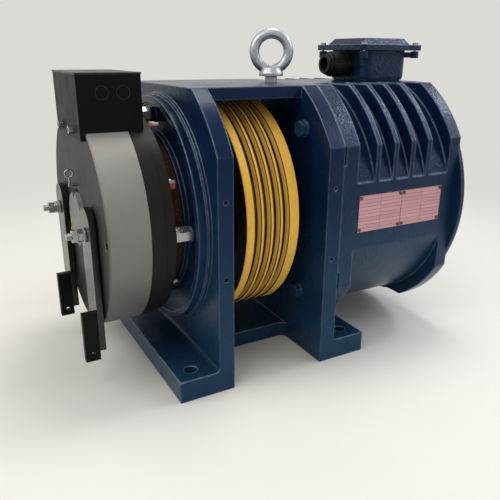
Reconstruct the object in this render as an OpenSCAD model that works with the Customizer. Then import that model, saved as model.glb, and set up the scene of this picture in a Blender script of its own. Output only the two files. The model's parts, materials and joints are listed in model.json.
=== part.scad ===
// Gearless elevator traction machine, built as separate named parts.
// X runs along the shaft (brake end towards -X), Z is up, the feet stand on z = 0.
// The origin is the centre of the four base bolt holes, on the floor.

/* [Frame] */
// Height of the shaft above the floor
shaft_h = 267; // [240:1:300]
// Radius of the rounded corners of the pedestals and motor flanges
frame_r = 260; // [250:1:275]
// Half width of the frame, to its flat front face
frame_y = 227; // [215:1:240]
// Height of the flat frame top above the shaft
frame_top = 221; // [212:1:230]
// Distance between the inner faces of the two pedestals
bay_w = 177; // [150:1:200]
// Thickness of the brake end pedestal
wall_brake = 27; // [20:1:34]
// Thickness of the motor end pedestal
wall_motor = 30; // [22:1:36]
// Distance from the origin to the outer edge of each foot
foot_x = 186; // [176:1:196]
// Clearance between the feet and the underside of the motor housing
foot_gap = 8; // [4:1:14]
// Radius of the fillet between foot and pedestal
foot_fillet = 9; // [4:1:14]
// Base bolt hole spacing along the shaft
base_hole_dx = 310; // [300:1:320]
// Base bolt hole spacing across the shaft
base_hole_dy = 390; // [360:1:400]
// Diameter of the base bolt holes
base_hole_d = 22; // [16:0.5:26]
// Half depth of the bottom plate between the pedestals
tie_y = 103; // [80:1:130]
// Thickness of the bottom plate between the pedestals
tie_t = 29; // [20:1:34]
// Half depth of the top beam
beam_y = 137; // [110:1:142]
// Thickness of the top beam at its edges
beam_t = 20; // [17:0.5:28]
// Pitch of the two tapped holes on each front strip
strip_pitch = 126; // [100:1:150]
// Core diameter of the tapped strip holes
strip_tap_d = 6.8; // [5:0.1:10.2]
// Depth of the tapped strip holes
strip_tap_depth = 22; // [12:1:30]

/* [Brake collar] */
// Outer radius of the brake collar
collar_r = 202; // [192:1:212]
// Distance of the collar rim from the pedestal face
collar_len = 21; // [14:1:26]
// Width of the collar rim
collar_rim = 11; // [8:1:16]
// Radius of the friction face inside the collar
friction_face_r = 145; // [142:1:150]

/* [Sheave] */
// Outside diameter of the traction sheave
sheave_d = 400; // [380:1:406]
// Width of the sheave rim
sheave_w = 101; // [92:1:120]
// Pitch of the rope grooves
groove_pitch = 18; // [16.5:0.5:19]
// Diameter of the rope the grooves are cut for
rope_d = 14; // [10:0.5:15]
// Width of the undercut at the groove bottom
undercut_w = 5; // [3:0.5:8]

/* [Shaft and bearings] */
// Shaft diameter in the brake end bearing
journal_brake_d = 80; // [70:1:85]
// Shaft diameter in the motor end bearing
journal_motor_d = 90; // [86:1:100]
// Outside diameter of the brake end bearing
bearing_brake_od = 140; // [130:1:150]
// Outside diameter of the motor end bearing
bearing_motor_od = 160; // [150:1:170]
// Radial clearance of rotating fits
run_gap = 0.05; // [0.02:0.01:0.1]
// Radial clearance of seated parts
seat_gap = 0.02; // [0.01:0.01:0.05]

/* [Motor] */
// Length of the motor housing
motor_len = 270; // [250:1:300]
// Outer radius of the housing cylinder
drum_r = 234; // [231:1:240]
// Inner radius of the housing
bore_r = 204; // [196:1:208]
// Thickness of the front flange
flange_front_t = 31; // [22:1:36]
// Thickness of the rear flange
flange_rear_t = 25; // [18:1:30]
// Number of corner ribs
rib_count = 4; // [3:1:5]
// Thickness of the corner ribs
rib_t = 9.5; // [6:0.5:12]
// Inner radius of the stator core
stator_ri = 150.5; // [146:0.5:156]
// Length of the stator core
core_len = 161; // [140:1:165]
// Distance of the stator core from the front end of the housing
core_setback = 60; // [56:1:66]
// Radial thickness of the rotor magnets
magnet_t = 7; // [5:0.5:9]
// Radial air gap between magnets and stator
air_gap = 1; // [0.6:0.1:2]
// Radius of the round rear cover
rear_cover_r = 247; // [240:1:252]
// Thickness of the rear cover edge
rear_cover_t = 16; // [12:1:22]

/* [Nameplates] */
// Width of each nameplate
plate_w = 97.5; // [80:0.5:98]
// Height of each nameplate
plate_h = 66; // [50:1:66]
// Distance of the first nameplate from the front end of the housing
plate_x = 37; // [34:1:44]
// Gap between the two nameplates
plate_gap = 1; // [0.5:0.5:4]

/* [Terminal box] */
// Distance of the terminal box centre from the rear end of the housing
tbox_setback = 45.5; // [42:0.5:60]
// Length of the terminal box lid along the shaft
tbox_lid_x = 154; // [140:1:170]
// Width of the terminal box lid
tbox_lid_y = 154; // [140:1:170]
// Length of the terminal box body along the shaft
tbox_x = 110; // [96:1:122]
// Width of the terminal box body
tbox_y = 120; // [106:1:132]
// Height of the terminal box body
tbox_h = 57; // [50:1:66]
// Wall thickness of the terminal box
tbox_wall = 5; // [3:0.5:7]
// Outside diameter of the cable gland
gland_d = 48; // [40:1:50]
// Bore of the cable gland
gland_bore_d = 26; // [18:1:30]

/* [Brake] */
// Outer radius of the magnet body
magnet_r = 185.5; // [183:0.5:194]
// Length of the magnet body
magnet_len = 65.5; // [58:0.5:76]
// Outer radius of the wide black ring
ring_r = 184; // [180:1:186]
// Length of the black ring
ring_len = 41.5; // [38:0.5:48]
// Axial gap between armature and magnet body
brake_air_gap = 0.9; // [0.7:0.1:1.4]
// Axial running clearance on each side of the friction disc
disc_gap = 0.06; // [0.03:0.01:0.1]
// Outer radius of the friction disc
disc_r = 138; // [130:1:141]
// Thickness of the friction disc
disc_t = 26; // [22:0.5:30]
// Pitch radius of the brake fixing bolts
spacer_pcr = 170; // [167:0.5:172]
// Across flats size of the hex spacers
spacer_af = 24; // [20:1:27]

/* [Release levers] */
// Distance of each release lever from the shaft axis
lever_y = 98; // [90:1:108]
// Width of a release lever
lever_w = 60; // [50:1:66]
// Thickness of a release lever
lever_t = 10; // [8:0.5:12]
// Distance of the release levers from the brake face
lever_stand = 3.5; // [2:0.5:5]
// Height of the lever tip below the shaft
lever_drop = 192; // [170:1:205]
// Height of the pivot above the release stud
lever_arm = 14; // [12:1:20]
// Diameter of the release studs
stud_d = 12; // [10:1:14]
// Play between stud washer and lever
release_play = 0.9; // [0.8:0.1:1.5]
// Height of the handle bar
handle_h = 85; // [70:1:95]
// Depth of the handle bar away from the lever
handle_x = 24; // [18:1:32]
// Thickness of the handle bar
handle_t = 12; // [8:1:18]
// Diameter of the cable hole in the handle
handle_hole_d = 8; // [5:0.5:10]

/* [Switch box] */
// Length of the switch box along the shaft
sbox_x = 98.5; // [90:0.5:100]
// Half width of the switch box
sbox_y = 82.5; // [78:0.5:92]
// Offset of the switch box from the middle of the brake
sbox_shift = -17.5; // [-20:0.5:-10]
// Height of the switch box
sbox_h = 86; // [74:1:95]
// Sheet thickness of the switch box
sbox_t = 2.5; // [1.5:0.5:3]
// Thickness of the plate that holds the switch box off the brake face
sbox_plate = 8; // [5:1:10]
// Diameter of the knockouts
knockout_d = 20; // [16:0.5:22]
// Distance of the first knockout from the outer end of the switch box
knockout_x = 37.5; // [30:0.5:42]
// Distance between the two knockouts
knockout_pitch = 32.5; // [28:0.5:36]

/* [Eye bolt] */
// Outside diameter of the eye ring
eye_d = 82; // [72:1:96]
// Diameter of the round bar of the eye ring
eye_bar_d = 18.5; // [15:0.5:22]
// Diameter of the eye bolt thread
eye_thread_d = 20; // [16:1:24]
// Turn of the tightened eye ring about the upright axis
eye_turn = -28; // [-90:1:90]

/* [Hidden] */
$fn = 64;
foot_t = shaft_h - frame_top - foot_gap; // thickness of the feet
fillet_r = min(foot_fillet, foot_gap - 0.5); // foot fillet, kept under the housing
xb0 = -bay_w / 2 - wall_brake;          // outer face of the brake end pedestal
xb1 = -bay_w / 2;                       // inner face of the brake end pedestal
xm0 = bay_w / 2;                        // inner face of the motor end pedestal
xm1 = bay_w / 2 + wall_motor;           // outer face of the motor end pedestal
x_collar = xb0 - collar_len;            // rim of the brake collar
x_recess = xb0 - 12;                    // recess floor inside the collar
x_mot1 = xm1 + motor_len;               // rear face of the motor housing
x_disc1 = x_collar - disc_gap;          // friction disc, motor side
x_disc0 = x_disc1 - disc_t;             // friction disc, brake side
x_ring1 = x_disc0 - 2.4;                // black ring, motor side
x_ring0 = x_ring1 - ring_len;           // magnet body front face
x_mag0 = x_ring0 - magnet_len;          // outer face of the magnet body
x_arm0 = x_ring0 + brake_air_gap;       // armature, magnet side
x_arm1 = x_disc0 - disc_gap;            // armature, friction disc side
ring_step_r = ring_r - 4;               // narrower second band of the black ring
sheave_r = sheave_d / 2;
z_top = shaft_h + frame_top;
groove_shift = -2.5;
rib_x0 = xm1 + 69.5;
rib_pitch = 39.6;
motor_bolt_r = 213;
x_lever1 = x_mag0 - lever_stand;        // back of the lever plates
x_lever0 = x_lever1 - lever_t;          // front of the lever plates
z_pivot = shaft_h + lever_arm;
tb_x = x_mot1 - tbox_setback;           // centre of the terminal box
tb_z0 = z_top;
tb_z1 = z_top + tbox_h;
gasket_t = 1.5;
plate_xs = [xm1 + plate_x, xm1 + plate_x + plate_w + plate_gap];
plate_z = shaft_h - 26;                 // lower edge of the nameplates
core_x0 = xm1 + core_setback;           // stator core, front end
core_x1 = core_x0 + core_len;           // stator core, rear end
rotor_r = stator_ri - air_gap - magnet_t; // outer radius of the rotor drum
lid_t = 10.5;
sb_x0 = x_mag0 - sbox_plate;            // outer face of the switch box
sb_x1 = sb_x0 + sbox_x;
sb_y0 = sbox_shift - sbox_y;            // near face of the switch box
sb_z0 = shaft_h + sqrt(pow(magnet_r + 0.3, 2) - pow(sb_y0, 2)) - 1.4;
sb_z1 = sb_z0 + sbox_h;
sb_ys = [sbox_shift - 38.5, sbox_shift + 38.5]; // switch box screws
sb_screw_z = sb_z0 + 3.5;
eye_x = (xm0 + xm1) / 2 + 1.5;
eye_y = -7;
eye_shank = 11;
spacer_angles = [180, 90, 0, -90];
x_boss = x_collar - 2.4;                // seat of the hex spacers

// Solid of revolution about the shaft, from x0 to x1
module rod(x0, x1, r) {
  translate([x0, 0, shaft_h]) rotate([0, 90, 0]) cylinder(h = x1 - x0, r = r);
}
// Ring about the shaft
module ring(x0, x1, ro, ri) {
  difference() { rod(x0, x1, ro); rod(x0 - 1, x1 + 1, ri); }
}
// Profile turned about the shaft, points given as [radius, x]
module turned(points) {
  translate([0, 0, shaft_h]) rotate([0, 90, 0]) rotate_extrude($fn = 96) polygon(points);
}
// Hole or pin along X at height z and depth y
module xpin(x0, x1, y, z, r) {
  translate([x0, y, z]) rotate([0, 90, 0]) cylinder(h = x1 - x0, r = r, $fn = 36);
}
// Pin along X on a circle about the shaft
module polar_pin(x0, x1, pcr, ang, r) {
  xpin(x0, x1, pcr * cos(ang), shaft_h + pcr * sin(ang), r);
}
// Hexagon along X with its corners up and down
module polar_hex(x0, x1, pcr, ang, af) {
  translate([x0, pcr * cos(ang), shaft_h + pcr * sin(ang)]) rotate([0, 90, 0])
    cylinder(h = x1 - x0, r = af / sqrt(3), $fn = 6);
}
// Square cut corners shape of the pedestals and motor flanges
module squircle(x0, x1) {
  intersection() {
    translate([x0, 0, shaft_h]) rotate([0, 90, 0]) cylinder(h = x1 - x0, r = frame_r, $fn = 96);
    translate([x0 - 1, -frame_y, shaft_h - frame_top])
      cube([x1 - x0 + 2, 2 * frame_y, 2 * frame_top]);
  }
}
// Pedestal wall standing on the floor
module pedestal(x0, x1) {
  squircle(x0, x1);
  translate([x0, -frame_y, 0]) cube([x1 - x0, 2 * frame_y, shaft_h]);
}
// Concave fillet bar along +Y for an inner corner that opens towards +X and +Z
module fillet_bar(r, len) {
  translate([0, len, 0]) rotate([90, 0, 0]) linear_extrude(len) polygon(concat(
    [[-1, r], [-1, -1], [r, -1]],
    [for (i = [0:6]) [r - r * sin(i * 15), r - r * cos(i * 15)]]));
}
// Foot with a filleted corner towards its pedestal; s gives the side
module foot(x_wall, s) {
  len = foot_x - abs(x_wall);
  translate([s > 0 ? x_wall - 1 : -foot_x, -frame_y, 0]) cube([len + 1, 2 * frame_y, foot_t]);
  translate([x_wall, -frame_y, foot_t]) mirror([s > 0 ? 0 : 1, 0, 0]) fillet_bar(fillet_r, 2 * frame_y);
}
// Upright fillet in a corner of the bottom plate
module corner_fillet(x, y, sx, sy, r, h) {
  translate([x, y, 0]) mirror([sx > 0 ? 0 : 1, 0, 0]) mirror([0, sy > 0 ? 0 : 1, 0])
    linear_extrude(h) polygon(concat([[-1, r], [-1, -1], [r, -1]],
      [for (i = [0:6]) [r - r * sin(i * 15), r - r * cos(i * 15)]]));
}
// Rectangle with rounded corners
function rounded(lx, ly, r) = [for (q = [0:3]) for (i = [0:6])
  let (a = q * 90 + i * 15, sx = (q == 0 || q == 3) ? 1 : -1, sy = q < 2 ? 1 : -1)
    [sx * (lx / 2 - r) + r * cos(a), sy * (ly / 2 - r) + r * sin(a)]];
module slab(x, y, z0, z1, lx, ly, r) {
  translate([x, y, z0]) linear_extrude(z1 - z0) polygon(rounded(lx, ly, r));
}

module main_frame() color("#22304a") difference() {
  union() {
    pedestal(xb0, xb1);
    pedestal(xm0, xm1);
    foot(xb0, -1);
    foot(xm1, 1);
    translate([xb1 - 1, -tie_y, 0]) cube([bay_w + 2, 2 * tie_y, tie_t]);
    for (sx = [-1, 1], sy = [-1, 1])
      corner_fillet(-sx * bay_w / 2, sy * tie_y, sx, sy, 14, tie_t);
    translate([xb1 - 1, -beam_y, z_top - beam_t]) cube([bay_w + 2, 2 * beam_y, beam_t]);
    rod(x_collar, xb0 + 1, collar_r);
    rod(xb0 - 6, xb0 + 1, collar_r + 5);
    rod(xm0 - 10, xm0 + 1, 112);
    rod(xm1 - 1, xm1 + 10, 112);
    rod(xb1 - 1, xb1 + 6, 96);
    for (a = spacer_angles) polar_pin(x_boss, x_recess, spacer_pcr, a, 13);
  }
  difference() {
    ring(x_collar - 1, x_recess, collar_r - collar_rim, friction_face_r);
    for (a = spacer_angles) polar_pin(x_boss - 1, x_recess + 1, spacer_pcr, a, 13);
  }
  rod(xm0 - 4, xm1 + 11, bearing_motor_od / 2);
  rod(xm0 - 11, xm0 - 3, bearing_motor_od / 2 - 10);
  rod(xb0 - 1, xb1 + 2, bearing_brake_od / 2);
  rod(xb1 + 1, xb1 + 7, bearing_brake_od / 2 - 9);
  rod(x_collar - 1, xb0, 101);
  rod(-bay_w / 2 + 12, bay_w / 2 - 12, 212);
  for (sx = [-1, 1], sy = [-1, 1])
    translate([sx * base_hole_dx / 2, sy * base_hole_dy / 2, -1])
      cylinder(h = foot_t + 2, d = base_hole_d, $fn = 48);
  for (x = [(xb0 + xb1) / 2, (xm0 + xm1) / 2], s = [-1, 1], sy = [-1, 1])
    translate([x, sy * (frame_y + 1), shaft_h - 4 + s * strip_pitch / 2]) rotate([sy * 90, 0, 0])
      cylinder(h = strip_tap_depth + 1, d = strip_tap_d, $fn = 32);
  for (a = [45, 135, 225, 315]) polar_pin(xm0 - 1, xm1 + 1, motor_bolt_r, a, 9);
  for (a = spacer_angles) polar_pin(x_boss - 1, xb0 + 16, spacer_pcr, a, 6);
  for (a = [30 : 60 : 330]) polar_pin(xb0 - 1, xb0 + 14, 86, a, 4);
  for (a = [30 : 60 : 330]) polar_pin(xm1 - 6, xm1 + 11, 96, a, 4);
  translate([eye_x, eye_y, z_top - 36]) cylinder(h = 37, d = eye_thread_d, $fn = 48);
}

// Half of one rope groove profile, as [radius, x] from the groove centre c
function groove_side(c, s) = let (h = rope_d / 2, a1 = 90 - asin(undercut_w / rope_d),
  arc = [for (i = [0:5]) let (a = i * a1 / 5)
    [sheave_r - 1 - h * sin(a), c + s * h * cos(a)]])
  s < 0 ? concat([[sheave_r, c - h]], arc, [[sheave_r - 12, c - undercut_w / 2]])
  : concat([[sheave_r - 12, c + undercut_w / 2]],
      [for (i = [5:-1:0]) arc[i]], [[sheave_r, c + h]]);

module traction_sheave() color("#c8a03c") difference() {
  turned(concat(
    [[56, -44], [90, -44], [90, -11], [166, -11], [166, -sheave_w / 2 + 1],
     [167, -sheave_w / 2], [sheave_r - 1, -sheave_w / 2], [sheave_r, -sheave_w / 2 + 1]],
    [for (k = [0:3]) for (s = [-1, 1])
      for (q = groove_side(groove_shift + (k - 1.5) * groove_pitch, s)) q],
    [[sheave_r, sheave_w / 2 - 1], [sheave_r - 1, sheave_w / 2], [167, sheave_w / 2],
     [166, sheave_w / 2 - 1], [166, 11], [90, 11], [90, 44], [56, 44]]));
  for (a = [0 : 60 : 300]) polar_pin(-12, 12, 128, a, 22);
  for (a = [22.5 : 45 : 360]) polar_pin(-45, 45, 74, a, 8.5);
}

module main_shaft() color("#9a9c9f") difference() {
  turned([[0, x_ring0 + 8.5], [24, x_ring0 + 8.5], [25, x_ring0 + 9.5], [25, x_disc0 - 5.5],
    [31, x_disc0 - 5.5], [32, x_disc0 - 4.5],
    [32, xb0 - 11], [journal_brake_d / 2, xb0 - 11], [journal_brake_d / 2, xb1 + 3],
    [46, xb1 + 3], [46, -62], [55.95, -61], [55.95, 44], [88, 44], [88, 58], [52, 58],
    [52, xm0 - 6], [journal_motor_d / 2, xm0 - 5], [journal_motor_d / 2, xm1 + 7],
    [42, xm1 + 7], [42, xm1 + 121], [76, xm1 + 121], [76, xm1 + 137], [30, xm1 + 137],
    [30, xm1 + 165], [10, xm1 + 165], [10, x_mot1 + 46], [9, x_mot1 + 47], [0, x_mot1 + 47]]);
  for (a = [22.5 : 45 : 360]) polar_pin(43, 59, 74, a, 8);
  for (a = [0 : 60 : 300]) polar_pin(xm1 + 120, xm1 + 138, 62, a, 6);
}
module sheave_screws() color("#6f7276") for (a = [22.5 : 45 : 360]) {
  polar_pin(-54, -44, 74, a, 12);
  polar_pin(-44.5, 57, 74, a, 8 - seat_gap);
}

module bearing_set(x0, x1, ro, ri, part) {
  t = (ro - ri) * 0.24;
  if (part == 0) ring(x0, x1, ro - seat_gap, ro - t);
  if (part == 1) ring(x0, x1, ri + t, ri + seat_gap);
  if (part == 2) let (rr = (ro - ri - 2 * t) / 2 - run_gap, pcr = (ro + ri) / 2,
    n = floor(6.283 * pcr / (2 * rr + 3)))
    for (k = [0 : n - 1]) polar_pin(x0 + 3, x1 - 3, pcr, k * 360 / n, rr);
}
module both_bearings(part) {
  bearing_set(xb0 + 3, xb1 + 2, bearing_brake_od / 2, journal_brake_d / 2, part);
  bearing_set(xm0 - 4, xm1 + 6, bearing_motor_od / 2, journal_motor_d / 2, part);
}
module bearing_outer_rings() color("#b9bcc0") both_bearings(0);
module bearing_inner_rings() color("#b9bcc0") both_bearings(1);
module bearing_rollers() color("#c9ccd0") both_bearings(2);
module bearing_caps() color("#22304a") {
  difference() {
    union() {
      rod(xb0 - 10, xb0, 96);
      rod(xb0 - 1, xb0 + 2.9, bearing_brake_od / 2 - 0.05);
    }
    rod(xb0 - 11, xb0 + 4, journal_brake_d / 2 + 1);
    rod(xb0 + 1, xb0 + 4, bearing_brake_od / 2 - 9);
    for (a = [30 : 60 : 330]) polar_pin(xb0 - 11, xb0 + 1, 86, a, 4.5);
  }
  for (a = [30 : 60 : 330]) {
    polar_pin(xb0 - 15, xb0 - 10, 86, a, 6.5);
    polar_pin(xb0 - 11, xb0 + 12, 86, a, 4 - seat_gap);
  }
  difference() {
    union() {
      rod(xm1 + 10, xm1 + 20, 106);
      rod(xm1 + 6.1, xm1 + 11, bearing_motor_od / 2 - 0.05);
    }
    rod(xm1 + 5, xm1 + 21, journal_motor_d / 2 + 1);
    rod(xm1 + 5, xm1 + 8, bearing_motor_od / 2 - 9);
    for (a = [30 : 60 : 330]) polar_pin(xm1 + 9, xm1 + 21, 96, a, 4.5);
  }
  for (a = [30 : 60 : 330]) {
    polar_pin(xm1 + 20, xm1 + 25, 96, a, 6.5);
    polar_pin(xm1 - 4, xm1 + 21, 96, a, 4 - seat_gap);
  }
}

module motor_housing() color("#22304a") difference() {
  union() {
    squircle(xm1, xm1 + flange_front_t);
    squircle(x_mot1 - flange_rear_t, x_mot1);
    intersection() {
      rod(xm1 + 1, x_mot1 - 1, drum_r);
      translate([xm1, -frame_y, shaft_h - frame_top])
        cube([motor_len, 2 * frame_y, 2 * frame_top]);
    }
    for (k = [0 : rib_count - 1]) intersection() {
      squircle(rib_x0 + k * rib_pitch, rib_x0 + k * rib_pitch + rib_t);
      translate([xm1, -300, shaft_h]) cube([motor_len, 600, 300]);
    }
    for (s = [-1, 1]) translate([xm1 + 20, s > 0 ? 215 : -frame_y, shaft_h])
      cube([motor_len - 30, frame_y - 215, 63]);
  }
  rod(xm1 + flange_front_t, x_mot1 + 1, bore_r);
  rod(xm1 - 1, xm1 + flange_front_t + 1, 125);
  for (a = [45, 135, 225, 315]) polar_pin(xm1 - 1, xm1 + 27, motor_bolt_r, a, 8);
  for (a = [22.5 : 45 : 360]) polar_pin(x_mot1 - 21, x_mot1 + 1, 214, a, 5);
  for (s = [-1, 1], z = [frame_top - 125, 0 - frame_top + 93])
    translate([xm1 - 1, s > 0 ? frame_y - 16 : -frame_y - 1, shaft_h + z])
      cube([5, 17, 32]);
  for (sx = [-1, 1], sy = [-1, 1])
    translate([tb_x + sx * 38, sy * 42, z_top - 14]) cylinder(h = 15, r = 3, $fn = 24);
}
module stator_core() color("#5b5f66") ring(core_x0, core_x1, bore_r - seat_gap, stator_ri);
module stator_windings() color("#b5642e") {
  ri = stator_ri + 7.5;
  ro = bore_r - 7;
  turned([[ri, core_x0], [ri, core_x0 - 16], [ri + 5, core_x0 - 21], [ro - 5, core_x0 - 21],
    [ro, core_x0 - 16], [ro, core_x0]]);
  turned([[ri, core_x1], [ri, core_x1 + 16], [ri + 5, core_x1 + 21], [ro - 5, core_x1 + 21],
    [ro, core_x1 + 16], [ro, core_x1]]);
}
module rotor_drum() color("#4a4d52") difference() {
  ri = rotor_r - 24.5;
  turned([[30 + seat_gap, xm1 + 137], [ri, xm1 + 137], [ri, core_x0], [rotor_r, core_x0],
    [rotor_r, core_x1], [ri, core_x1], [ri, xm1 + 152], [30 + seat_gap, xm1 + 152]]);
  for (a = [0 : 60 : 300]) polar_pin(xm1 + 136, xm1 + 153, 62, a, 6.5);
  for (a = [30 : 60 : 330]) polar_pin(xm1 + 136, xm1 + 153, 94, a, 14);
}
module rotor_screws() color("#6f7276") for (a = [0 : 60 : 300]) {
  polar_pin(xm1 + 152, xm1 + 160, 62, a, 9);
  polar_pin(xm1 + 122, xm1 + 153, 62, a, 6 - seat_gap);
}
module rotor_magnets() color("#8a8d92") difference() {
  ring(core_x0 + 4, core_x1 - 4, stator_ri - air_gap, rotor_r + seat_gap);
  for (k = [0 : 9]) translate([core_x0, 0, shaft_h]) rotate([k * 18, 0, 0])
    translate([0, -stator_ri, -3]) cube([core_len + 4, 2 * stator_ri, 6]);
}
module rear_cover() color("#22304a") difference() {
  union() {
    turned([[0, x_mot1], [rear_cover_r, x_mot1], [rear_cover_r, x_mot1 + 7],
      [rear_cover_r - 11, x_mot1 + rear_cover_t], [124, x_mot1 + rear_cover_t],
      [114, x_mot1 + rear_cover_t + 8], [0, x_mot1 + rear_cover_t + 8]]);
    ring(x_mot1 - 6, x_mot1 + 1, bore_r - 0.05, bore_r - 14);
  }
  translate([x_mot1 - 1, -rear_cover_r, z_top])
    cube([rear_cover_t + 10, 2 * rear_cover_r, rear_cover_r]);
  rod(x_mot1 - 1, x_mot1 + 30, 22);
  for (a = [22.5 : 45 : 360]) polar_pin(x_mot1 - 1, x_mot1 + 20, 214, a, 5.5);
  for (a = [45 : 90 : 360]) polar_pin(x_mot1 + 12, x_mot1 + 26, 56, a, 2.5);
}
module rear_cover_screws() color("#b9bcc0") for (a = [22.5 : 45 : 360]) {
  polar_hex(x_mot1 + rear_cover_t, x_mot1 + rear_cover_t + 7, 214, a, 16);
  polar_pin(x_mot1 - 19, x_mot1 + rear_cover_t + 1, 214, a, 5 - seat_gap);
}
module encoder_body() color("#3a3d42") {
  x = x_mot1 + rear_cover_t + 8;
  difference() { rod(x, x + 26, 44); rod(x + 5, x + 27, 38); rod(x - 1, x + 6, 14); }
}
module encoder_wheel() color("#b9bcc0") {
  x = x_mot1 + rear_cover_t + 8;
  ring(x + 10, x + 14, 34, 10 + seat_gap);
}
module encoder_cover() color("#22304a") {
  x = x_mot1 + rear_cover_t + 8;
  difference() {
    rod(x, x + 34, 64);
    rod(x - 1, x + 30, 45);
    for (a = [45 : 90 : 360]) polar_pin(x - 1, x + 35, 56, a, 3);
  }
  for (a = [45 : 90 : 360]) {
    polar_pin(x + 34, x + 37, 56, a, 4.5);
    polar_pin(x - 8, x + 34.5, 56, a, 2.5 - seat_gap);
  }
}
module flange_bolts() color("#22304a") for (a = [45, 135, 225, 315]) {
  polar_hex(xm0 - 13, xm0 - 3, motor_bolt_r, a, 24);
  polar_pin(xm0 - 3, xm0, motor_bolt_r, a, 15);
  polar_pin(xm0 - 4, xm1 + 24, motor_bolt_r, a, 8 - seat_gap);
}

module terminal_box() color("#22304a") difference() {
  union() {
    slab(tb_x, 0, tb_z0, tb_z0 + 3, tbox_x - 10, tbox_y - 10, 14);
    slab(tb_x, 0, tb_z0 + 2, tb_z0 + 7, tbox_x - 3, tbox_y - 3, 17);
    slab(tb_x, 0, tb_z0 + 6, tb_z1, tbox_x, tbox_y, 18);
    for (sx = [-1, 1], sy = [-1, 1]) {
      translate([tb_x + sx * (tbox_lid_x / 2 - 11), sy * (tbox_lid_y / 2 - 11), tb_z1 - 13])
        cylinder(h = 13, r = 8, $fn = 32);
      translate([tb_x + sx * (tbox_lid_x / 2 - 11), sy * (tbox_lid_y / 2 - 11), tb_z1 - 12])
        rotate([0, 0, atan2(-sy, -sx)]) translate([0, -5, 0]) cube([34, 10, 10.5]);
    }
  }
  slab(tb_x, 0, tb_z0 + 6, tb_z1 + 1, tbox_x - 2 * tbox_wall, tbox_y - 2 * tbox_wall, 13);
  for (sx = [-1, 1], sy = [-1, 1]) {
    translate([tb_x + sx * (tbox_lid_x / 2 - 11), sy * (tbox_lid_y / 2 - 11), tb_z1 - 14])
      cylinder(h = 15, r = 2.5, $fn = 24);
    translate([tb_x + sx * 38, sy * 42, tb_z0 - 1]) cylinder(h = 12, r = 3.4, $fn = 24);
  }
  translate([tb_x, 0, tb_z0 - 1]) cylinder(h = 12, r = 18);
  xpin(tb_x - tbox_x / 2 - 1, tb_x - tbox_x / 2 + 8, 0, tb_z0 + 32, 18);
}
module terminal_gasket() color("#1c1c1e") difference() {
  slab(tb_x, 0, tb_z1, tb_z1 + gasket_t, tbox_x - 1, tbox_y - 1, 17);
  slab(tb_x, 0, tb_z1 - 1, tb_z1 + 3, tbox_x - 2 * tbox_wall, tbox_y - 2 * tbox_wall, 13);
}
module terminal_lid() color("#22304a") difference() {
  z = tb_z1 + gasket_t;
  union() {
    slab(tb_x, 0, z, z + lid_t, tbox_lid_x, tbox_lid_y, 9);
    hull() {
      slab(tb_x, 0, z + lid_t - 1, z + lid_t, tbox_lid_x - 32, tbox_lid_y - 32, 7);
      slab(tb_x, 0, z + lid_t + 11, z + lid_t + 12, tbox_lid_x - 52, tbox_lid_y - 52, 5);
    }
  }
  slab(tb_x, 0, z - 1, z + lid_t + 6, tbox_lid_x - 62, tbox_lid_y - 62, 5);
  for (sx = [-1, 1], sy = [-1, 1])
    translate([tb_x + sx * (tbox_lid_x / 2 - 11), sy * (tbox_lid_y / 2 - 11), z - 1])
      cylinder(h = lid_t + 2, r = 3, $fn = 24);
}
module terminal_lid_screws() color("#c6c8ca") for (sx = [-1, 1], sy = [-1, 1])
  translate([tb_x + sx * (tbox_lid_x / 2 - 11), sy * (tbox_lid_y / 2 - 11), 0]) {
    translate([0, 0, tb_z1 + gasket_t + lid_t]) cylinder(h = 4.5, r = 5.5, $fn = 32);
    translate([0, 0, tb_z1 - 12]) cylinder(h = 12 + gasket_t + lid_t + 1, r = 2.5 - seat_gap, $fn = 24);
  }
module terminal_block() color("#2a2a2c") {
  translate([tb_x - 24, -20, tb_z0 + 6]) cube([56, 40, 20]);
  for (k = [0:2]) translate([tb_x - 10 + k * 16, 0, tb_z0 + 20]) cylinder(h = 18, r = 3, $fn = 24);
  for (sx = [-1, 1], sy = [-1, 1]) translate([tb_x + sx * 38, sy * 42, 0]) {
    translate([0, 0, tb_z0 + 6]) cylinder(h = 5, r = 5.5, $fn = 24);
    translate([0, 0, tb_z0 - 12]) cylinder(h = 19, r = 3 - seat_gap, $fn = 24);
  }
}
module cable_gland() color("#1b1b1d") difference() {
  x = tb_x - tbox_x / 2;
  union() {
    translate([x - 12, 0, tb_z0 + 32]) rotate([0, 90, 0]) rotate([0, 0, 30])
      cylinder(h = 12, r = 27, $fn = 6);
    xpin(x - 1, x + 13, 0, tb_z0 + 32, 18 - seat_gap);
    xpin(x - 30, x - 11, 0, tb_z0 + 32, 17);
  }
  xpin(x - 31, x + 14, 0, tb_z0 + 32, gland_bore_d / 2);
}
module gland_nut() color("#1b1b1d") difference() {
  x = tb_x - tbox_x / 2 - 12;
  union() {
    xpin(x - 30, x, 0, tb_z0 + 32, gland_d / 2);
    xpin(x - 38, x - 29, 0, tb_z0 + 32, gland_d / 2 - 3);
    xpin(x - 44, x - 37, 0, tb_z0 + 32, gland_d / 2 - 6);
  }
  xpin(x - 19, x + 1, 0, tb_z0 + 32, 17 + seat_gap);
  xpin(x - 45, x - 18, 0, tb_z0 + 32, gland_bore_d / 2);
}
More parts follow.
